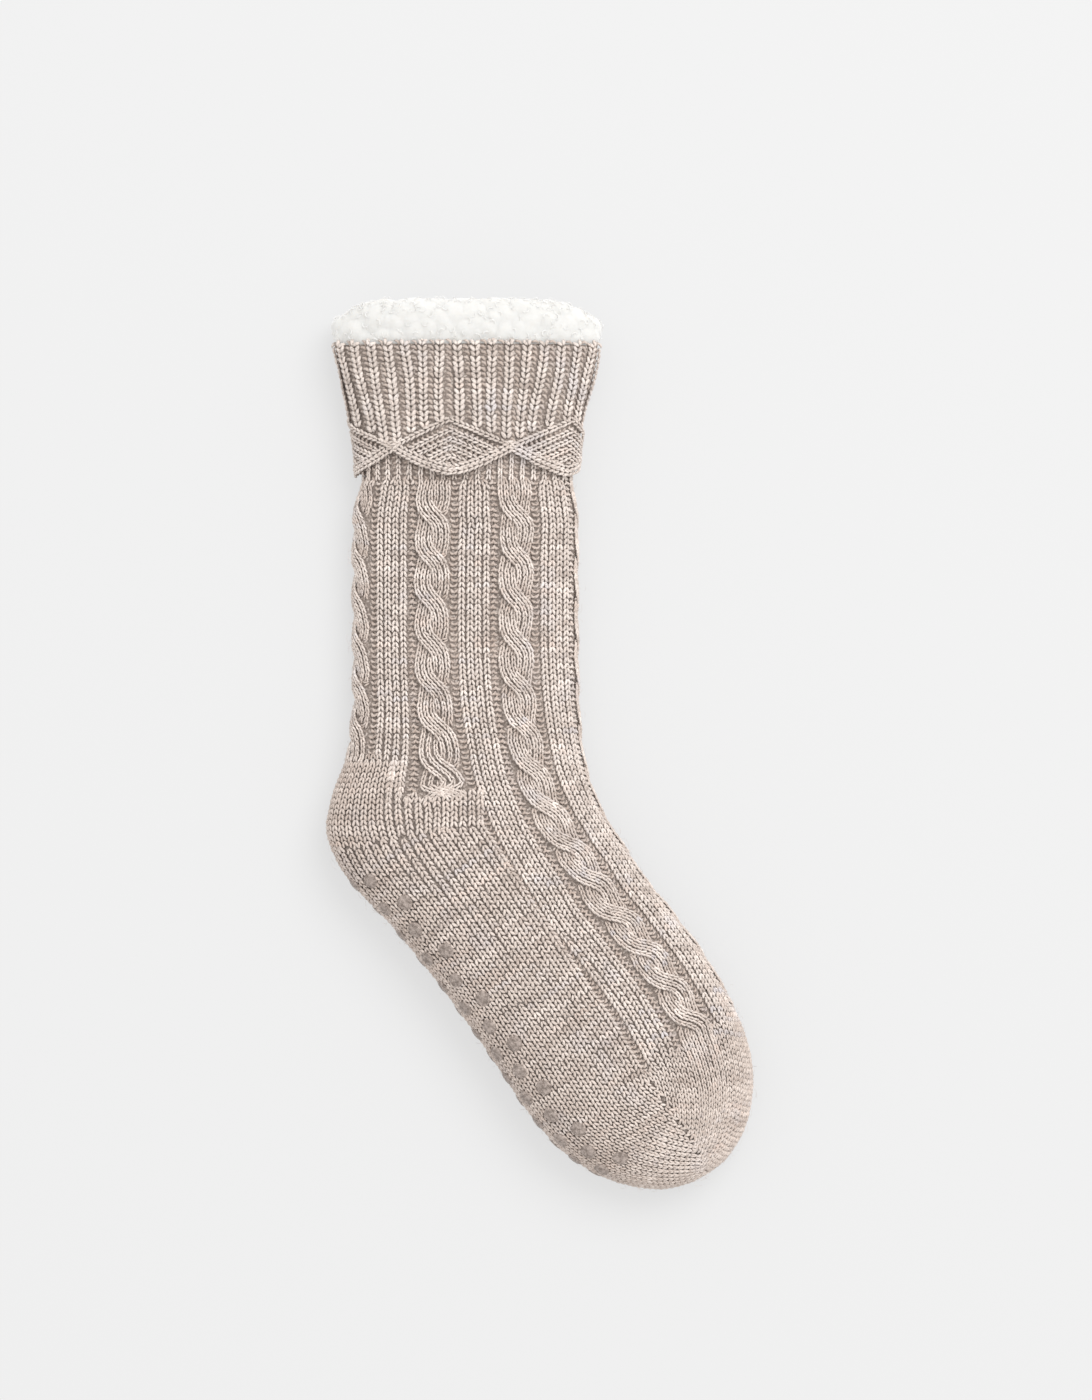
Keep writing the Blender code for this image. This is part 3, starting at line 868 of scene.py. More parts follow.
def stitch_shapes():
    """A knit stitch of two slanted legs, a coarse one, a purl bump and a cable's longer stitch."""
    leg = (
        (0.26, -1.95, -0.15),
        (0.50, -1.10, 0.34),
        (0.88, -0.05, 0.46),
        (1.24, 0.90, 0.22),
        (1.40, 1.70, -0.32),
    )
    cable_leg = (
        (0.34, -2.20, -0.15),
        (0.52, -1.25, 0.34),
        (0.80, -0.10, 0.46),
        (1.06, 1.00, 0.24),
        (1.16, 2.00, -0.30),
    )
    bump = (
        (-1.7, -0.60, -0.35),
        (-0.95, 0.05, 0.25),
        (0, 0.48, 0.50),
        (0.95, 0.15, 0.25),
        (1.7, -0.40, -0.35),
    )
    kinds = {
        "stitch_shape": (leg, (0, 0.60, 0.74, 0.60, 0), 5, (-1, 1)),
        "coarse_shape": (leg[::2], (0, 0.74, 0), 3, (-1, 1)),
        "purl_shape": (bump, (0, 0.62, 0.78, 0.62, 0), 4, (1,)),
        "braid_shape": (cable_leg, (0, 0.56, 0.68, 0.58, 0), 5, (-1, 1)),
    }
    return [
        shape_object(name, [strand(path, radii, count, side) for side in sides])
        for name, (path, radii, count, sides) in kinds.items()
    ]


def euler_angles(side, along, normal):
    """XYZ Euler angles of frames whose axes are side, along and normal."""
    turn_x = np.arctan2(along[:, 2], normal[:, 2])
    turn_y = -np.arcsin(np.clip(side[:, 2], -1, 1))
    turn_z = np.arctan2(side[:, 1], side[:, 0])
    return np.column_stack([turn_x, turn_y, turn_z])


def group_socket(tree, name, in_out, kind):
    return tree.interface.new_socket(name=name, in_out=in_out, socket_type=kind)


def named_attribute(tree, name, kind):
    node = tree.nodes.new("GeometryNodeInputNamedAttribute")
    node.data_type = kind
    node.inputs["Name"].default_value = name
    return node.outputs["Attribute"]


def planting_tree(name, count):
    """Plants one of several shapes on each point, turned and sized by the point's attributes."""
    tree = bpy.data.node_groups.new(name, "GeometryNodeTree")
    group_socket(tree, "Points", "INPUT", "NodeSocketGeometry")
    shapes = [group_socket(tree, f"Shape {i + 1}", "INPUT", "NodeSocketObject") for i in range(count)]
    finish = group_socket(tree, "Finish", "INPUT", "NodeSocketMaterial")
    group_socket(tree, "Geometry", "OUTPUT", "NodeSocketGeometry")
    nodes, links = tree.nodes, tree.links
    source = nodes.new("NodeGroupInput")
    target = nodes.new("NodeGroupOutput")
    turn = nodes.new("FunctionNodeEulerToRotation")
    links.new(named_attribute(tree, "turn", "FLOAT_VECTOR"), turn.inputs["Euler"])
    size = named_attribute(tree, "size", "FLOAT_VECTOR")
    kind = named_attribute(tree, "kind", "INT")
    joined = nodes.new("GeometryNodeJoinGeometry")
    for i, shape in enumerate(shapes):
        compare = nodes.new("FunctionNodeCompare")
        compare.data_type = "INT"
        compare.operation = "EQUAL"
        compare.inputs[3].default_value = i
        links.new(kind, compare.inputs[2])
        info = nodes.new("GeometryNodeObjectInfo")
        links.new(source.outputs[shape.name], info.inputs["Object"])
        plant = nodes.new("GeometryNodeInstanceOnPoints")
        links.new(source.outputs["Points"], plant.inputs["Points"])
        links.new(compare.outputs["Result"], plant.inputs["Selection"])
        links.new(info.outputs["Geometry"], plant.inputs["Instance"])
        links.new(turn.outputs["Rotation"], plant.inputs["Rotation"])
        links.new(size, plant.inputs["Scale"])
        links.new(plant.outputs["Instances"], joined.inputs["Geometry"])
    real = nodes.new("GeometryNodeRealizeInstances")
    paint = nodes.new("GeometryNodeSetMaterial")
    links.new(joined.outputs["Geometry"], real.inputs["Geometry"])
    links.new(real.outputs["Geometry"], paint.inputs["Geometry"])
    links.new(source.outputs["Finish"], paint.inputs["Material"])
    links.new(paint.outputs["Geometry"], target.inputs["Geometry"])
    return tree, [shape.identifier for shape in shapes], finish.identifier


def plant(name, places, turns, sizes, values, shapes, finish, kinds=0):
    """A plain mesh of shapes planted on points by a Geometry Nodes tree."""
    data = bpy.data.meshes.new(name)
    data.from_pydata([tuple(place) for place in places], [], [])
    layers = {"turn": turns, "size": sizes, "kind": np.broadcast_to(kinds, len(places)), **values}
    for key, array in layers.items():
        kind, field, precision = PLANTING_LAYERS.get(key, ("FLOAT", "value", np.float32))
        layer = data.attributes.new(key, kind, "POINT")
        layer.data.foreach_set(field, np.asarray(array, dtype=precision).ravel())
    obj = bpy.data.objects.new(name, data)
    bpy.context.scene.collection.objects.link(obj)
    tree, shape_keys, finish_key = planting_tree(f"{name}_planting", len(shapes))
    modifier = obj.modifiers.new("planting", "NODES")
    modifier.node_group = tree
    for key, shape in zip(shape_keys, shapes):
        modifier[key] = shape
    modifier[finish_key] = finish
    graph = bpy.context.evaluated_depsgraph_get()
    made = bpy.data.meshes.new_from_object(obj.evaluated_get(graph))
    obj.modifiers.remove(modifier)
    made.name = name
    for key in PLANTING_LAYERS:
        if key in made.attributes:
            made.attributes.remove(made.attributes[key])
    obj.data = made
    if not made.polygons:
        raise RuntimeError(f"{name} came out empty")
    if not made.materials:
        made.materials.append(finish)
    for shape in shapes:
        bpy.data.objects.remove(shape)
    return obj


def plant_stitches(name, table, settings, finish):
    """The yarn of one region: stitches from their table of places, frames, sizes, order and painted
    shade.
    """
    places, along, normal = table[:, 0:3], table[:, 3:6], table[:, 6:9]
    width, kind, order, shade = table[:, 9:13].T
    draws = np.random.default_rng(len(table))
    side = normed(np.cross(along, normal))
    lean = np.radians(settings.unevenness * 4.0) * draws.normal(size=len(table))[:, None]
    turned = along * np.cos(lean) + side * np.sin(lean)
    side = normed(np.cross(turned, normal))
    out = normed(np.cross(side, turned))
    jitter = settings.unevenness * 0.00007
    places = places + side * jitter * draws.normal(size=(len(table), 1))
    places = places + turned * jitter * draws.normal(size=(len(table), 1))
    swell = 1 + 0.06 * settings.unevenness * draws.normal(size=len(table))
    sizes = np.column_stack([width / settings.wale_width * swell, swell, swell])
    tint = 0.55 * runs(order, 3.0, 3) + 0.45 * runs(order, 9.0, 5) + 0.3 * draws.normal(size=len(table))
    hue = runs(order, 12.0, 7) + 0.25 * draws.normal(size=len(table))
    values = {"tint": tint, "hue": hue, "shade": shade}
    turns = euler_angles(side, turned, out)
    return plant(name, places, turns, sizes, values, stitch_shapes(), finish, kind)


def zip_rings(mesh, upper, lower):
    """Triangles between two rings, which may have different numbers of points."""
    i = j = 0
    while i < len(upper) or j < len(lower):
        here, there = upper[i % len(upper)], lower[j % len(lower)]
        if (i + 1) * len(lower) <= (j + 1) * len(upper):
            i += 1
            mesh.faces.new((here, upper[i % len(upper)], there))
        else:
            j += 1
            mesh.faces.new((here, lower[j % len(lower)], there))


def loft(name, rings, tips=None):
    """A closed solid through rings of points, between two tips or back to its first ring."""
    mesh = bmesh.new()
    loops = [[mesh.verts.new(point) for point in ring] for ring in rings]
    pairs = list(zip(loops, loops[1:]))
    if tips is None:
        pairs.append((loops[-1], loops[0]))
    else:
        for tip, loop in zip(tips, (loops[0], loops[-1])):
            pole = mesh.verts.new(tip)
            for i, vertex in enumerate(loop):
                mesh.faces.new((vertex, loop[(i + 1) % len(loop)], pole))
    for upper, lower in pairs:
        if len(upper) == len(lower):
            for i, vertex in enumerate(upper):
                j = (i + 1) % len(upper)
                mesh.faces.new((vertex, upper[j], lower[j], lower[i]))
        else:
            zip_rings(mesh, upper, lower)
    data = bpy.data.meshes.new(name)
    turn_outwards(mesh, data)
    obj = bpy.data.objects.new(name, data)
    bpy.context.scene.collection.objects.link(obj)
    return obj


def floored(points, floor=0.0):
    points[:, 2] = np.maximum(points[:, 2], floor)
    return points


def even_ring(down, out, count):
    """A plain ring of evenly spaced points, each a distance out from the body."""
    distances = np.arange(count) / count * girth(down)
    return floored(surface(angle_at(down, distances), down, out))


def inner_rings(out, count):
    downs = (FOLD_ROLL + SEAT_GAP, *KNOTS[FOLD_ROW + 2 : ANKLE_ROW : 2], *KNOTS[ANKLE_ROW:-1])
    return [even_ring(down, out, count) for down in downs]


def tip_point(out):
    """The end of the toe, moved outwards along the foot."""
    row = ROWS[-1]
    x, y = row[0] + out * math.sin(FOOT_TURN), row[1] - out * math.cos(FOOT_TURN)
    return tuple(np.array([x, y, row[4]]) + ANKLE)


def knit_wall(settings):
    """The wall behind the stitches: its colour is darkened as painted shade between them, and it carries
    the cables' height.
    """
    columns = np.arange(REPEATS * 36) / 36
    columns = np.where(columns < REPEATS / 2 + 0.5, columns, columns - REPEATS)
    cables = np.clip(np.round(columns), CABLES[0], CABLES[-1]).astype(int)
    offsets = (columns - cables) * PERIOD
    groove = np.abs(np.abs(offsets) - PURL_GROOVE) < 0.0018
    downs = [*np.arange(FOLD_ROLL + SEAT_GAP, TIP - TOE_REACH, 0.0024)]
    downs += [TIP - TOE_REACH * share for share in (0.95, 0.86, 0.76, 0.65, 0.53, 0.40, 0.27, 0.15, 0.06)]
    rings = []
    for down in downs:
        at = np.full(len(columns), down)
        weight, height = np.array(
            [
                (pattern_weight(c, o, down), strand_height(o, c, down, settings.cable_rise))
                for c, o in zip(cables, offsets)
            ]
        ).T
        height = weight * (height - 0.0006 * groove) - settings.wall_depth
        angles = angle_at(at, knit_distance(at, columns))
        rings.append(floored(surface(angles, at, height), WALL_FLOOR))
    tips = (tip_point(-settings.wall_depth), tip_point(-KNIT_WALL))
    return loft("knit_wall", rings[::-1] + inner_rings(-KNIT_WALL, 48), tips)


def cuff_wall(settings):
    """The wall behind the cuff's stitches, with its rolled fold and scalloped hem."""
    count = 10 * RIBS
    around = np.arange(count) / count
    hem, border = hem_line(around), border_line(around)
    face = CUFF_FACE - settings.wall_depth
    outer = []
    for downs, out in (
        (FOLD_ROLL, -KNIT_WALL),
        (0.3 * FOLD_ROLL, -KNIT_WALL),
        (0.0002, -0.2 * KNIT_WALL),
        (0.35 * FOLD_ROLL, 0.6 * face),
        (FOLD_ROLL, face),
        *((share * border, face) for share in (0.2, 0.35, 0.5, 0.65, 0.8, 0.9)),
        (border, face + 0.0005),
        (border * 0.7 + hem * 0.3, face),
        (border * 0.35 + hem * 0.65, face),
        (hem - 0.0022, face),
        (hem - 0.0008, face * 0.75),
        (hem - 0.0006, CUFF_GAP),
    ):
        distances = girth(downs) * around + pleat(around, downs)
        rippled = out + tuck(around, downs) * (out > 0.001)
        outer.append(floored(surface(angle_at(downs, distances), downs, rippled), WALL_FLOOR))
    inner = [even_ring(share * DIAMOND_VALLEY, CUFF_GAP, count) for share in (0.7, 0.35)]
    return loft("cuff_wall", outer + inner + [even_ring(FOLD_ROLL, CUFF_GAP, count)])


RIM_PROFILE = (
    (-0.10, -0.0077),
    (-0.50, -0.0071),
    (-0.84, -0.0059),
    (-0.98, -0.0024),
    (-0.86, 0.0010),
    (-0.55, 0.0032),
    (-0.20, 0.0028),
    (0.03, 0.0006),
)


def rim_rings(settings):
    """Rings of the pile's rim, with soft lumps like packed curls."""
    places = np.array(RIM_PROFILE)
    fine = np.linspace(0, len(places) - 1, RIM_RINGS)
    rings = []
    for share, out in zip(*(smooth_through(fine, places[:, i]) for i in (0, 1))):
        around = np.arange(RIM_COLUMNS) / RIM_COLUMNS * girth(share * RIM_HEIGHT)
        angles = angle_at(share * RIM_HEIGHT, around)
        corner = np.abs(np.cos(angles)) ** 7
        downs = share * RIM_HEIGHT * (1 - 0.36 * corner * eased(-share / 0.9))
        rings.append(surface(angles, downs, out))
    grid = np.array(rings)
    around = np.roll(grid, -1, axis=1) - np.roll(grid, 1, axis=1)
    normal = np.cross(around, np.gradient(grid, axis=0))
    normal = normal / np.maximum(np.linalg.norm(normal, axis=2, keepdims=True), 1e-12)
    draws = np.random.default_rng(11)
    column, ring = draws.integers(0, RIM_COLUMNS, LUMPS), draws.integers(2, RIM_RINGS, LUMPS)
    centres = grid[ring, column] + draws.normal(size=(LUMPS, 3)) * 0.0006
    sizes = draws.uniform(0.0030, 0.0062, LUMPS)
    swell = np.zeros(grid.shape[:2])
    for centre, size in zip(centres, sizes):
        gap = np.linalg.norm(grid - centre, axis=2) / size
        swell = np.maximum(swell, np.maximum(0, 1 - gap**2) * size * 0.27)
    fade = eased(fine)[:, None] * eased((len(places) - 1 - fine) / 0.7)[:, None]
    grid = grid + normal * ((swell - 0.0010) * settings.lump * fade)[..., None]
    grid[..., 2] = np.maximum(grid[..., 2], 0.0002)
    return grid, normal


def smooth_through(at, values):
    """A smooth curve through values at whole-numbered knots."""
    index = np.clip(at.astype(int), 0, len(values) - 2)
    slopes = np.gradient(values)
    return cubic(at - index, 1, values[index], slopes[index], values[index + 1], slopes[index + 1])


def pile_lining(settings):
    """The pile lining, hollow down to the toe, with its lumpy rim above the fold."""
    inside = -KNIT_WALL - SEAT_GAP - FLEECE_WALL
    outside = -KNIT_WALL - SEAT_GAP
    grid, normal = rim_rings(settings)
    rings = inner_rings(inside, 60)[::-1] + list(grid) + inner_rings(outside, 60)
    tips = (tip_point(inside), tip_point(outside))
    return loft("pile_lining", rings, tips), grid, normal


def curl_shape():
    """A short curl of fibres that lies on the pile."""
    path = []
    for i in range(7):
        turn = 0.9 * math.pi * (i / 6 - 0.5) * 1.5
        path.append((1.15 * math.sin(turn), 1.1 * (1 - math.cos(turn)) - 0.6, 0.5 * math.cos(turn)))
    return shape_object("curl_shape", [strand(path, (0, 0.18, 0.23, 0.25, 0.23, 0.18, 0), 3, flat=1.0)])


def pile_curls(grid, normal, settings, finish):
    """Curls scattered over the rim, laid in every direction."""
    draws = np.random.default_rng(17)
    rings, columns = grid.shape[:2]
    number = settings.curls
    ring = draws.integers(5, rings - 3, number)
    column = draws.integers(0, columns, number)
    out = normal[ring, column]
    side = normed(np.cross(out, draws.normal(size=(number, 3))))
    along = np.cross(out, side)
    places = grid[ring, column] + out * draws.uniform(-0.0002, 0.0004, (number, 1))
    sizes = np.column_stack([draws.uniform(0.7, 1.35, number)] * 3)
    values = {"tint": draws.normal(size=number)}
    places = floored(places, STITCH_FLOOR)
    turns = euler_angles(side, along, out)
    return plant("pile_curls", places, turns, sizes, values, [curl_shape()], finish)


def stray_fibres(table, settings, finish):
    """Fine fibres that stand off the yarn and soften its outline."""
    draws = np.random.default_rng(29)
    picks = draws.integers(0, len(table), settings.fibres)
    picks = picks[table[picks, 8] > -0.3]
    count = len(picks)
    out = normed(table[picks, 6:9] + 0.35 * draws.normal(size=(count, 3)))
    side = normed(np.cross(out, draws.normal(size=(count, 3))))
    along = np.cross(out, side)
    places = table[picks, 0:3] + table[picks, 6:9] * 0.0006
    places = floored(places + 0.0012 * draws.normal(size=(count, 3)), 0.0012)
    path = ((-2.2, 0, -0.5), (-1.3, 0.12, 0.25), (-0.2, 0.35, 0.65), (1.0, 0.1, 0.75), (2.3, -0.5, 0.45))
    shape = shape_object("fibre_shape", [strand(path, (0, 0.04, 0.05, 0.04, 0), 3, flat=1.0)])
    size = draws.uniform(0.5, 1.3, count)
    sizes = np.column_stack([size, size, size * draws.uniform(0.5, 1.3, count)])
    values = {key: draws.normal(size=count) for key in ("tint", "hue")}
    values["shade"] = np.ones(count)
    turns = euler_angles(side, along, out)
    return plant("stray_fibres", places, turns, sizes, values, [shape], finish)


def dot_shape(height):
    """A dome of soft rubber, turned from its profile."""
    vertices, faces = [(0, 0, height)], []
    for reach, rise in DOT_PROFILE:
        for i in range(DOT_SIDES):
            turn = 2 * math.pi * i / DOT_SIDES
            radius = reach * GRIP_RADIUS
            vertices.append((radius * math.cos(turn), radius * math.sin(turn), rise * height))
    vertices.append((0, 0, DOT_PROFILE[-1][1] * height))
    rings = [1 + ring * DOT_SIDES for ring in range(len(DOT_PROFILE))]
    for i in range(DOT_SIDES):
        j = (i + 1) % DOT_SIDES
        faces.append((0, 1 + i, 1 + j))
        for near, far in zip(rings, rings[1:]):
            faces.append((near + i, far + i, far + j, near + j))
        faces.append((rings[-1] + i, len(vertices) - 1, rings[-1] + j))
    return shape_object("dot_shape", [(vertices, faces)])


def grip_pads(settings, finish):
    """Soft rubber dots printed on the sole's side of the foot."""
    rows = np.arange(GRIP_ROWS)
    first, last = LEG_LENGTH + GRIP_FROM_ANKLE, TIP - GRIP_TO_TOE
    downs = np.repeat(first + (last - first) * rows / (GRIP_ROWS - 1), GRIP_COLUMNS)
    columns = np.tile(np.arange(GRIP_COLUMNS), GRIP_ROWS)
    staggered = np.repeat(rows % 2, GRIP_COLUMNS) * GRIP_STAGGER
    around = girth(downs) / 2 - (columns * GRIP_SPACING + staggered - GRIP_LOWEST)
    angles = angle_at(downs, around)
    normal = normals_at(angles, downs)
    places = surface(angles, downs, 0.0) - normal * 0.0001
    side = normed(np.cross(np.array([[0.3, 1.0, 0.1]]), normal))
    turns = euler_angles(side, np.cross(normal, side), normal)
    draws = np.random.default_rng(23)
    sizes = np.column_stack([draws.uniform(1.06, 1.15, len(places))] * 3)
    values = {"tint": draws.normal(size=len(places))}
    return plant("grip_pads", places, turns, sizes, values, [dot_shape(settings.dot_height)], finish)


def set_inputs(node, values):
    for name, value in values.items():
        node.inputs[name].default_value = value


def new_node(tree, kind, **values):
    node = tree.nodes.new(kind)
    for key, value in values.items():
        setattr(node, key, value)
    return node


def value_of(tree, name):
    return new_node(tree, "ShaderNodeAttribute", attribute_name=name).outputs["Fac"]


def mixed(tree, factor, first, second, blend="MIX"):
    """A colour mix. Each argument is a number, a colour or a socket."""
    node = new_node(tree, "ShaderNodeMix", data_type="RGBA", blend_type=blend)
    for socket, value in ((node.inputs[0], factor), (node.inputs[6], first), (node.inputs[7], second)):
        if isinstance(value, bpy.types.NodeSocket):
            tree.links.new(value, socket)
        elif isinstance(value, (int, float)):
            socket.default_value = value
        else:
            socket.default_value = (*value[:3], 1.0)
    return node.outputs[2]


def ranged(tree, value, low, high, to_low=0.0, to_high=1.0):
    node = new_node(tree, "ShaderNodeMapRange")
    tree.links.new(value, node.inputs["Value"])
    set_inputs(node, {"From Min": low, "From Max": high, "To Min": to_low, "To Max": to_high})
    return node.outputs["Result"]


def noise(tree, scale, detail=2.0, roughness=0.5):
    place = new_node(tree, "ShaderNodeTexCoord")
    node = new_node(tree, "ShaderNodeTexNoise")
    tree.links.new(place.outputs["Object"], node.inputs["Vector"])
    set_inputs(node, {"Scale": scale, "Detail": detail, "Roughness": roughness})
    return node.outputs["Fac"]


def fresh_material(name, roughness, sheen=0.0):
    made = bpy.data.materials.new(name)
    made.use_nodes = True
    shader = made.node_tree.nodes["Principled BSDF"]
    fibre = {"Specular IOR Level": 0.18, "Sheen Weight": sheen, "Sheen Roughness": 0.6}
    set_inputs(shader, {"Roughness": roughness, **fibre})
    return made, made.node_tree, shader


def bump(tree, shader, height, strength, distance):
    node = new_node(tree, "ShaderNodeBump")
    set_inputs(node, {"Strength": strength, "Distance": distance})
    tree.links.new(height, node.inputs["Height"])
    tree.links.new(node.outputs["Normal"], shader.inputs["Normal"])


def yarn_material(name, settings, tone):
    """Oatmeal yarn: light and dark fibres, with bluish and rosy stretches along it, and painted shade
    where a stitch's shade value is low.
    """
    made, tree, shader = fresh_material(name, 0.93, settings.fuzz)
    tint = ranged(tree, value_of(tree, "tint"), -2.2, 2.2)
    colour = mixed(tree, tint, settings.dark_yarn, settings.light_yarn)
    hue = value_of(tree, "hue")
    fleck = noise(tree, 1250.0, 3.0, 0.7)
    for value, limits, other in (
        (noise(tree, 90.0, 3.0, 0.6), (0.52, 0.30, 0.0, 0.35), settings.dark_yarn),
        (noise(tree, 52.0, 3.0, 0.6), (0.55, 0.70, 0.0, 0.30), settings.cool_yarn),
        (hue, (1.0, 2.6, 0.0, 0.50), settings.cool_yarn),
        (hue, (-0.8, -2.2, 0.0, 0.60), settings.warm_yarn),
        (fleck, (0.465, 0.34, 0.0, 0.9), settings.fleck),
        (fleck, (0.56, 0.70, 0.0, 0.6), settings.light_yarn),
        # Painted shade: a low shade value mixes in the shade colour.
        (value_of(tree, "shade"), (0.0, 1.0, 1.0, 0.0), settings.painted_shade_yarn),
    ):
        colour = mixed(tree, ranged(tree, value, *limits), colour, other)
    colour = mixed(tree, 1.0, colour, (tone,) * 3, "MULTIPLY")
    tree.links.new(colour, shader.inputs["Base Color"])
    bump(tree, shader, noise(tree, 2600.0, 3.0, 0.7), 0.6, 0.0003)
    return made


def wall_material(name, settings):
    """The knit seen between the stitches, darkened as painted shade."""
    made, tree, shader = fresh_material(name, 0.95)
    fleck = noise(tree, 900.0, 3.0, 0.6)
    colour = mixed(tree, ranged(tree, fleck, 0.38, 0.58), settings.fleck, settings.dark_yarn)
    colour = mixed(tree, ranged(tree, fleck, 0.54, 0.70), colour, settings.light_yarn)
    colour = mixed(tree, 1.0, colour, (settings.wall_shade_tone,) * 3, "MULTIPLY")
    tree.links.new(colour, shader.inputs["Base Color"])
    bump(tree, shader, noise(tree, 1400.0, 2.0), 0.5, 0.0005)
    return made


def pile_material(settings):
    """White pile with a soft, curly face, brightened by a painted glow."""
    made, tree, shader = fresh_material("white_pile", 0.95, 0.35)
    cloud = noise(tree, 160.0, 3.0, 0.6)
    colour = mixed(tree, ranged(tree, cloud, 0.35, 0.65), settings.pile_shade, settings.pile_white)
    tree.links.new(colour, shader.inputs["Base Color"])
    bump(tree, shader, noise(tree, 900.0, 4.0, 0.7), 0.22, 0.0005)
    # Real subsurface scattering, and painted light: an even emission that brightens the pile.
    scatter_and_painted_glow = {
        "Subsurface Weight": 0.7,
        "Subsurface Radius": (1.0, 0.9, 0.8),
        "Subsurface Scale": 0.006,
        "Emission Color": (1.0, 0.985, 0.95, 1.0),
        "Emission Strength": settings.painted_glow,
    }
    set_inputs(shader, scatter_and_painted_glow)
    return made


def rubber_material(settings):
    """Clear rubber with a grey-brown cast, which lets the yarn show through."""
    made, tree, shader = fresh_material("grip_rubber", 0.42)
    cloud = noise(tree, 620.0, 4.0, 0.65)
    colour = mixed(tree, ranged(tree, cloud, 0.38, 0.62), settings.dot_dark, settings.dot_light)
    tree.links.new(colour, shader.inputs["Base Color"])
    set_inputs(shader, {"Alpha": settings.dot_cover, "Specular IOR Level": 0.4})
    bump(tree, shader, noise(tree, 700.0, 3.0, 0.6), 0.8, 0.0006)
    return made


def colour_value(name, description, default):
    return bpy.props.FloatVectorProperty(
        name=name, description=description, default=default, min=0, max=1, size=3, subtype="COLOR"
    )


def length_value(name, description, default):
    return bpy.props.FloatProperty(
        name=name, description=description, default=default, min=0, unit="LENGTH", precision=5
    )


def share_value(name, description, default):
    return bpy.props.FloatProperty(
        name=name, description=description, default=default, min=0, soft_max=2, subtype="FACTOR"
    )


def count_value(name, description, default, lowest=0):
    return bpy.props.IntProperty(name=name, description=description, default=default, min=lowest)


class KnitSettings(bpy.types.PropertyGroup):
    """Gauge, relief and colours of the yarn."""

    wale_width: length_value("Wale width", "Width of a full stitch", 0.00364)
    row_height: length_value("Row height", "Height of a row of stitches", 0.00257)
    cable_rise: length_value("Cable rise", "Height of a cable's upper strand", 0.0019)
    purl_depth: length_value("Purl depth", "How deep the purl columns lie", 0.0010)
    purl_sway: length_value("Purl sway", "Sideways zigzag of the purl bumps", 0.0003)
    wall_depth: length_value("Wall depth", "How far the wall lies behind the stitches", 0.0016)
    # Painted shade: how far the sunken purl columns and ribs are darkened.
    purl_shade_tone: share_value("Purl tone", "How light the purl columns are", 0.50)
    # Painted shade: how far the wall seen between the stitches is darkened.
    wall_shade_tone: share_value("Wall tone", "How light the wall behind the stitches is", 0.72)
    unevenness: share_value("Unevenness", "How uneven the stitches are", 1.0)
    fuzz: share_value("Fuzz", "Soft light at the rim of the yarn", 0.25)
    heel_wales: count_value("Heel wales", "Wales around the heel above its gore", 37, 10)
    sole_wales: count_value("Sole wales", "Wales around the heel cup and the sole", 33, 10)
    fibres: count_value("Stray fibres", "Fine fibres that stand off the yarn", 5000)
    light_yarn: colour_value("Light yarn", "Lightest fibres", (0.92, 0.83, 0.765))
    dark_yarn: colour_value("Dark yarn", "Darkest fibres", (0.46, 0.38, 0.33))
    fleck: colour_value("Flecks", "Dark fibres spun into the yarn", (0.27, 0.225, 0.20))
    cool_yarn: colour_value("Cool yarn", "Bluish stretches", (0.62, 0.61, 0.66))
    warm_yarn: colour_value("Warm yarn", "Rosy stretches", (0.82, 0.68, 0.60))
    # Painted shade: the colour that sunken, hidden and turned-away yarn is darkened towards.
    painted_shade_yarn: colour_value("Deep yarn", "Yarn in the purl columns", (0.44, 0.34, 0.28))


class PileSettings(bpy.types.PropertyGroup):
    """The pile lining and its rim."""

    lump: share_value("Lumps", "Height of the rim's lumps", 1.0)
    # Painted light: emission that brightens the pile as if light scattered through it.
    painted_glow: share_value("Glow", "Light that scatters inside the pile", 0.222)
    curls: count_value("Curls", "Number of curls on the rim", 600)
    pile_white: colour_value("Pile", "Colour of the pile", (0.53, 0.525, 0.51))
    pile_shade: colour_value("Pile shade", "Colour between the curls", (0.50, 0.495, 0.48))


class GripSettings(bpy.types.PropertyGroup):
    """The rubber dots."""

    dot_height: length_value("Dot height", "Height of a dot's dome", 0.0009)
    dot_cover: share_value("Cover", "How much of the yarn a dot hides", 0.72)
    dot_light: colour_value("Light rubber", "Lighter cast", (0.56, 0.47, 0.42))
    dot_dark: colour_value("Dark rubber", "Darker cast", (0.22, 0.175, 0.15))


class StageSettings(bpy.types.PropertyGroup):
    """The floor, the lights and the camera."""

    floor_tone: share_value("Floor tone", "How light the floor is", 0.20)
    floor_glow: share_value("Floor glow", "Light that comes up through the floor", 0.60)
    sky: bpy.props.FloatProperty(
        name="Sky", description="Strength of the even light", default=0.95, min=0
    )
    key_power: bpy.props.FloatProperty(
        name="Key light", description="Power of the large soft lamp", default=64.0, min=0, unit="POWER"
    )
    camera_height: length_value("Camera height", "Height of the camera over the floor", 2.5)
    view_height: length_value("View height", "Length of the frame's tall side on the sock", 0.665)


def drop_into(obj, slot, *nodes):
    """Puts a finished piece on the sock's body and hides the parts of the model that it replaces."""
    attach(obj, "root")
    if nodes:
        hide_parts(*nodes)


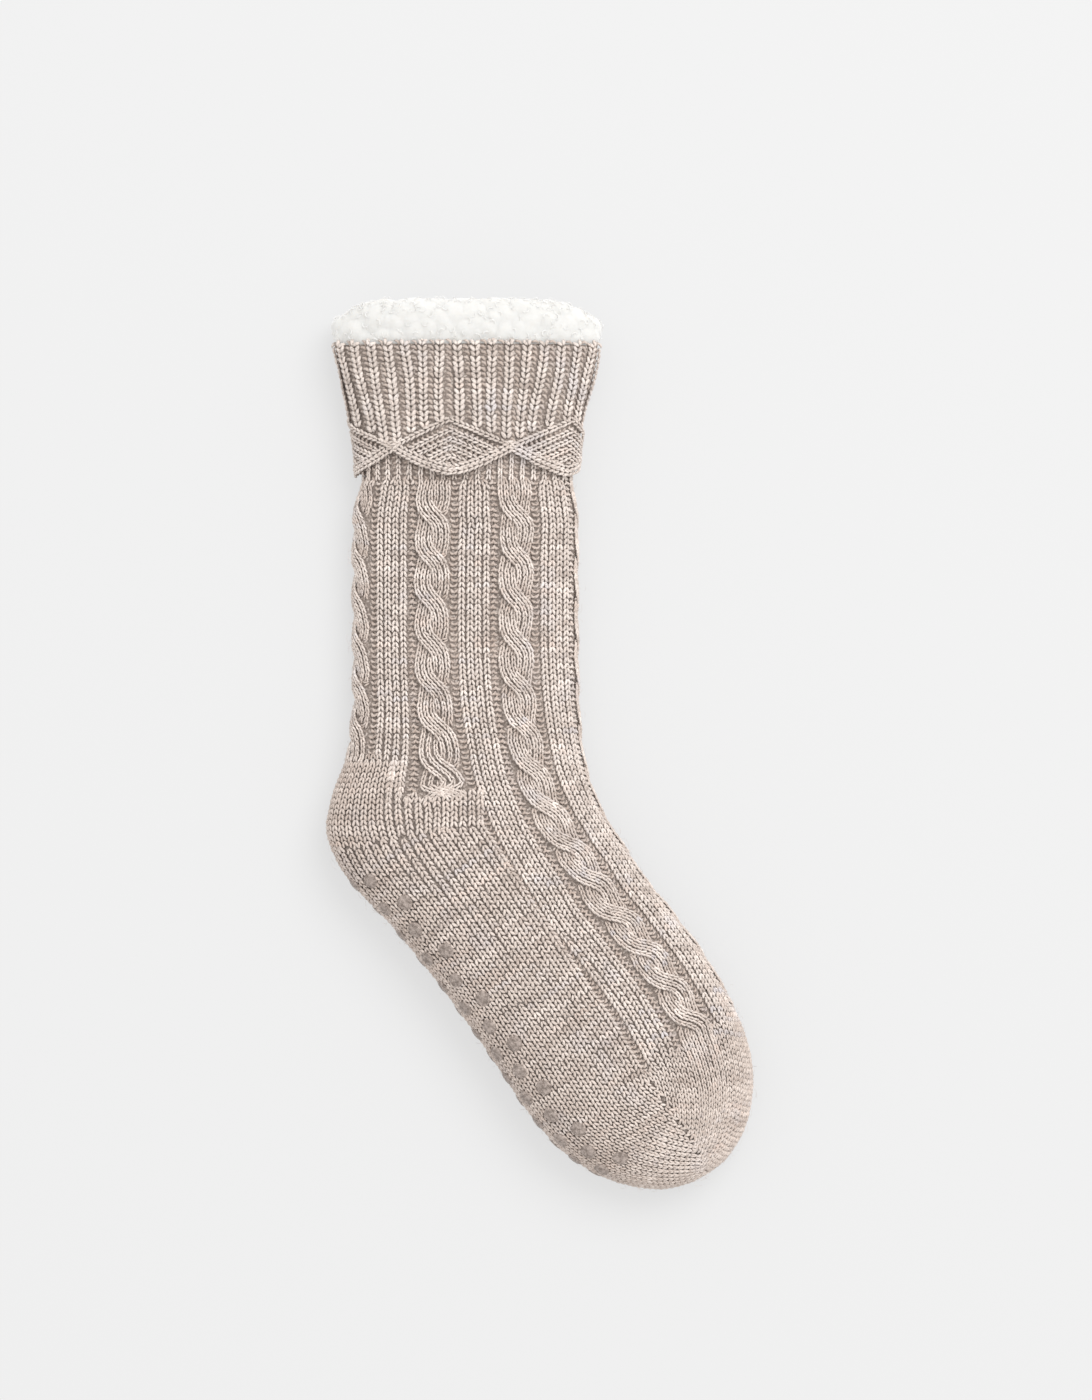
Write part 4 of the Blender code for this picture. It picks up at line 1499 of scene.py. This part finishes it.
class BuildKnitBody(bpy.types.Operator):
    """Knit the leg, heel, foot, sole and toe stitch by stitch over their wall"""

    bl_idname = "sock.knit_body"
    bl_label = "Knit body"

    def execute(self, context):
        settings = context.scene.sock_knit
        yarn = yarn_material("oatmeal_yarn", settings, 1.06)
        wall = knit_wall(settings)
        wall.data.materials.append(wall_material("knit_shade", settings))
        drop_into(wall, "knit", "knit_body")
        table = instep_and_leg(settings)
        on_leg = table[:, 1] > ANKLE[1] + 0.020
        regions = {
            "leg_stitches": table[on_leg],
            "instep_stitches": table[~on_leg],
            "heel_sole_stitches": heel_and_sole(settings),
        }
        for name, rows in regions.items():
            drop_into(plant_stitches(name, rows, settings, yarn), "knit")
        whole = np.vstack(list(regions.values()))
        drop_into(stray_fibres(whole, settings, yarn), "knit")
        return {"FINISHED"}


class BuildTurnedCuff(bpy.types.Operator):
    """Knit the turned cuff with its ribs, its border of diamonds and its scalloped hem"""

    bl_idname = "sock.turned_cuff"
    bl_label = "Turned cuff"

    def execute(self, context):
        settings = context.scene.sock_knit
        wall = cuff_wall(settings)
        wall.data.materials.append(wall_material("cuff_shade", settings))
        drop_into(wall, "rib", "turned_cuff")
        yarn = yarn_material("rib_yarn", settings, 1.02)
        table = np.vstack([cuff_ribs(settings), cuff_border(settings)])
        drop_into(plant_stitches("cuff_stitches", table, settings, yarn), "rib")
        return {"FINISHED"}


class BuildPileLining(bpy.types.Operator):
    """Make the pile lining with its lumpy rim and the curls on it"""

    bl_idname = "sock.pile_lining"
    bl_label = "Pile lining"

    def execute(self, context):
        settings = context.scene.sock_pile
        finish = pile_material(settings)
        lining, grid, normal = pile_lining(settings)
        lining.data.materials.append(finish)
        drop_into(lining, "pile", "sherpa_lining")
        drop_into(pile_curls(grid, normal, settings, finish), "pile")
        return {"FINISHED"}


class BuildGripDots(bpy.types.Operator):
    """Print the rubber dots on the sole"""

    bl_idname = "sock.grip_dots"
    bl_label = "Grip dots"

    def execute(self, context):
        settings = context.scene.sock_grip
        pads = grip_pads(settings, rubber_material(settings))
        drop_into(pads, "grip", *(f"grip_dot_{number:02d}" for number in range(1, 43)))
        return {"FINISHED"}


def pale_floor(settings):
    """A wide plain floor that gives a little light of its own."""
    reach = FLOOR_REACH
    corners = [(-reach, -reach, 0), (reach, -reach, 0), (reach, reach, 0), (-reach, reach, 0)]
    data = bpy.data.meshes.new("floor")
    data.from_pydata(corners, [], [(0, 1, 2, 3)])
    floor = bpy.data.objects.new("floor", data)
    bpy.context.scene.collection.objects.link(floor)
    made, _, shader = fresh_material("pale_floor", 0.9)
    looks = {
        "Base Color": (settings.floor_tone,) * 3 + (1.0,),
        "Specular IOR Level": 0.0,
        "Emission Color": (1.0, 1.0, 1.0, 1.0),
        "Emission Strength": settings.floor_glow,
    }
    set_inputs(shader, looks)
    data.materials.append(made)
    return floor


def soft_light(settings):
    """Even light from all round, and one large lamp above the collar's side."""
    world = bpy.data.worlds.new("studio")
    world.use_nodes = True
    sky = world.node_tree.nodes["Background"]
    set_inputs(sky, {"Color": (1.0, 1.0, 1.0, 1.0), "Strength": settings.sky})
    bpy.context.scene.world = world
    data = bpy.data.lights.new("key", "AREA")
    data.shape = "DISK"
    data.size = 2.2
    data.energy = settings.key_power
    lamp = bpy.data.objects.new("key", data)
    lamp.location = (1.1, 1.5, 2.6)
    lamp.rotation_euler = (-lamp.location).to_track_quat("-Z", "Y").to_euler()
    bpy.context.scene.collection.objects.link(lamp)


def overhead_camera(settings):
    """A camera straight above the sock, at the photograph's distance."""
    lens = bpy.data.cameras.new("overhead")
    lens.sensor_width = 36.0
    to_middle = settings.camera_height - FOOT_THICKNESS / 2
    lens.lens = lens.sensor_width / 2 * to_middle / (settings.view_height / 2)
    lens.clip_start = 0.05
    lens.clip_end = 50.0
    camera = bpy.data.objects.new("overhead", lens)
    camera.location = (0.0026, 0.0210, settings.camera_height)
    bpy.context.scene.collection.objects.link(camera)
    return camera


class BuildStage(bpy.types.Operator):
    """Set up the pale floor, the soft light and the camera overhead"""

    bl_idname = "sock.stage"
    bl_label = "Stage"

    def execute(self, context):
        settings = context.scene.sock_stage
        pale_floor(settings)
        soft_light(settings)
        context.scene.camera = overhead_camera(settings)
        context.scene.view_settings.view_transform = "Standard"
        context.scene.view_settings.look = "None"
        return {"FINISHED"}


class SockPanel(bpy.types.Panel):
    """Lists the sock's pieces, with their sizes and colours"""

    bl_label = "Slipper sock"
    bl_idname = "VIEW3D_PT_slipper_sock"
    bl_space_type = "VIEW_3D"
    bl_region_type = "UI"
    bl_category = "Sock"

    def draw(self, context):
        for operator in OPERATORS:
            self.layout.operator(operator.bl_idname)
        for name in SETTINGS:
            box = self.layout.box()
            settings = getattr(context.scene, name)
            for key in settings.__annotations__:
                box.prop(settings, key)


SETTINGS = {
    "sock_knit": KnitSettings,
    "sock_pile": PileSettings,
    "sock_grip": GripSettings,
    "sock_stage": StageSettings,
}
OPERATORS = (BuildKnitBody, BuildTurnedCuff, BuildPileLining, BuildGripDots, BuildStage)
CLASSES = (*SETTINGS.values(), *OPERATORS, SockPanel)


def register():
    for made in CLASSES:
        bpy.utils.register_class(made)
    for name, made in SETTINGS.items():
        setattr(bpy.types.Scene, name, bpy.props.PointerProperty(type=made))


def unregister():
    for name in SETTINGS:
        delattr(bpy.types.Scene, name)
    for made in reversed(CLASSES):
        bpy.utils.unregister_class(made)


def main():
    register()
    bpy.ops.sock.knit_body()
    bpy.ops.sock.turned_cuff()
    bpy.ops.sock.pile_lining()
    bpy.ops.sock.grip_dots()
    bpy.ops.sock.stage()


if __name__ == "__main__":
    main()
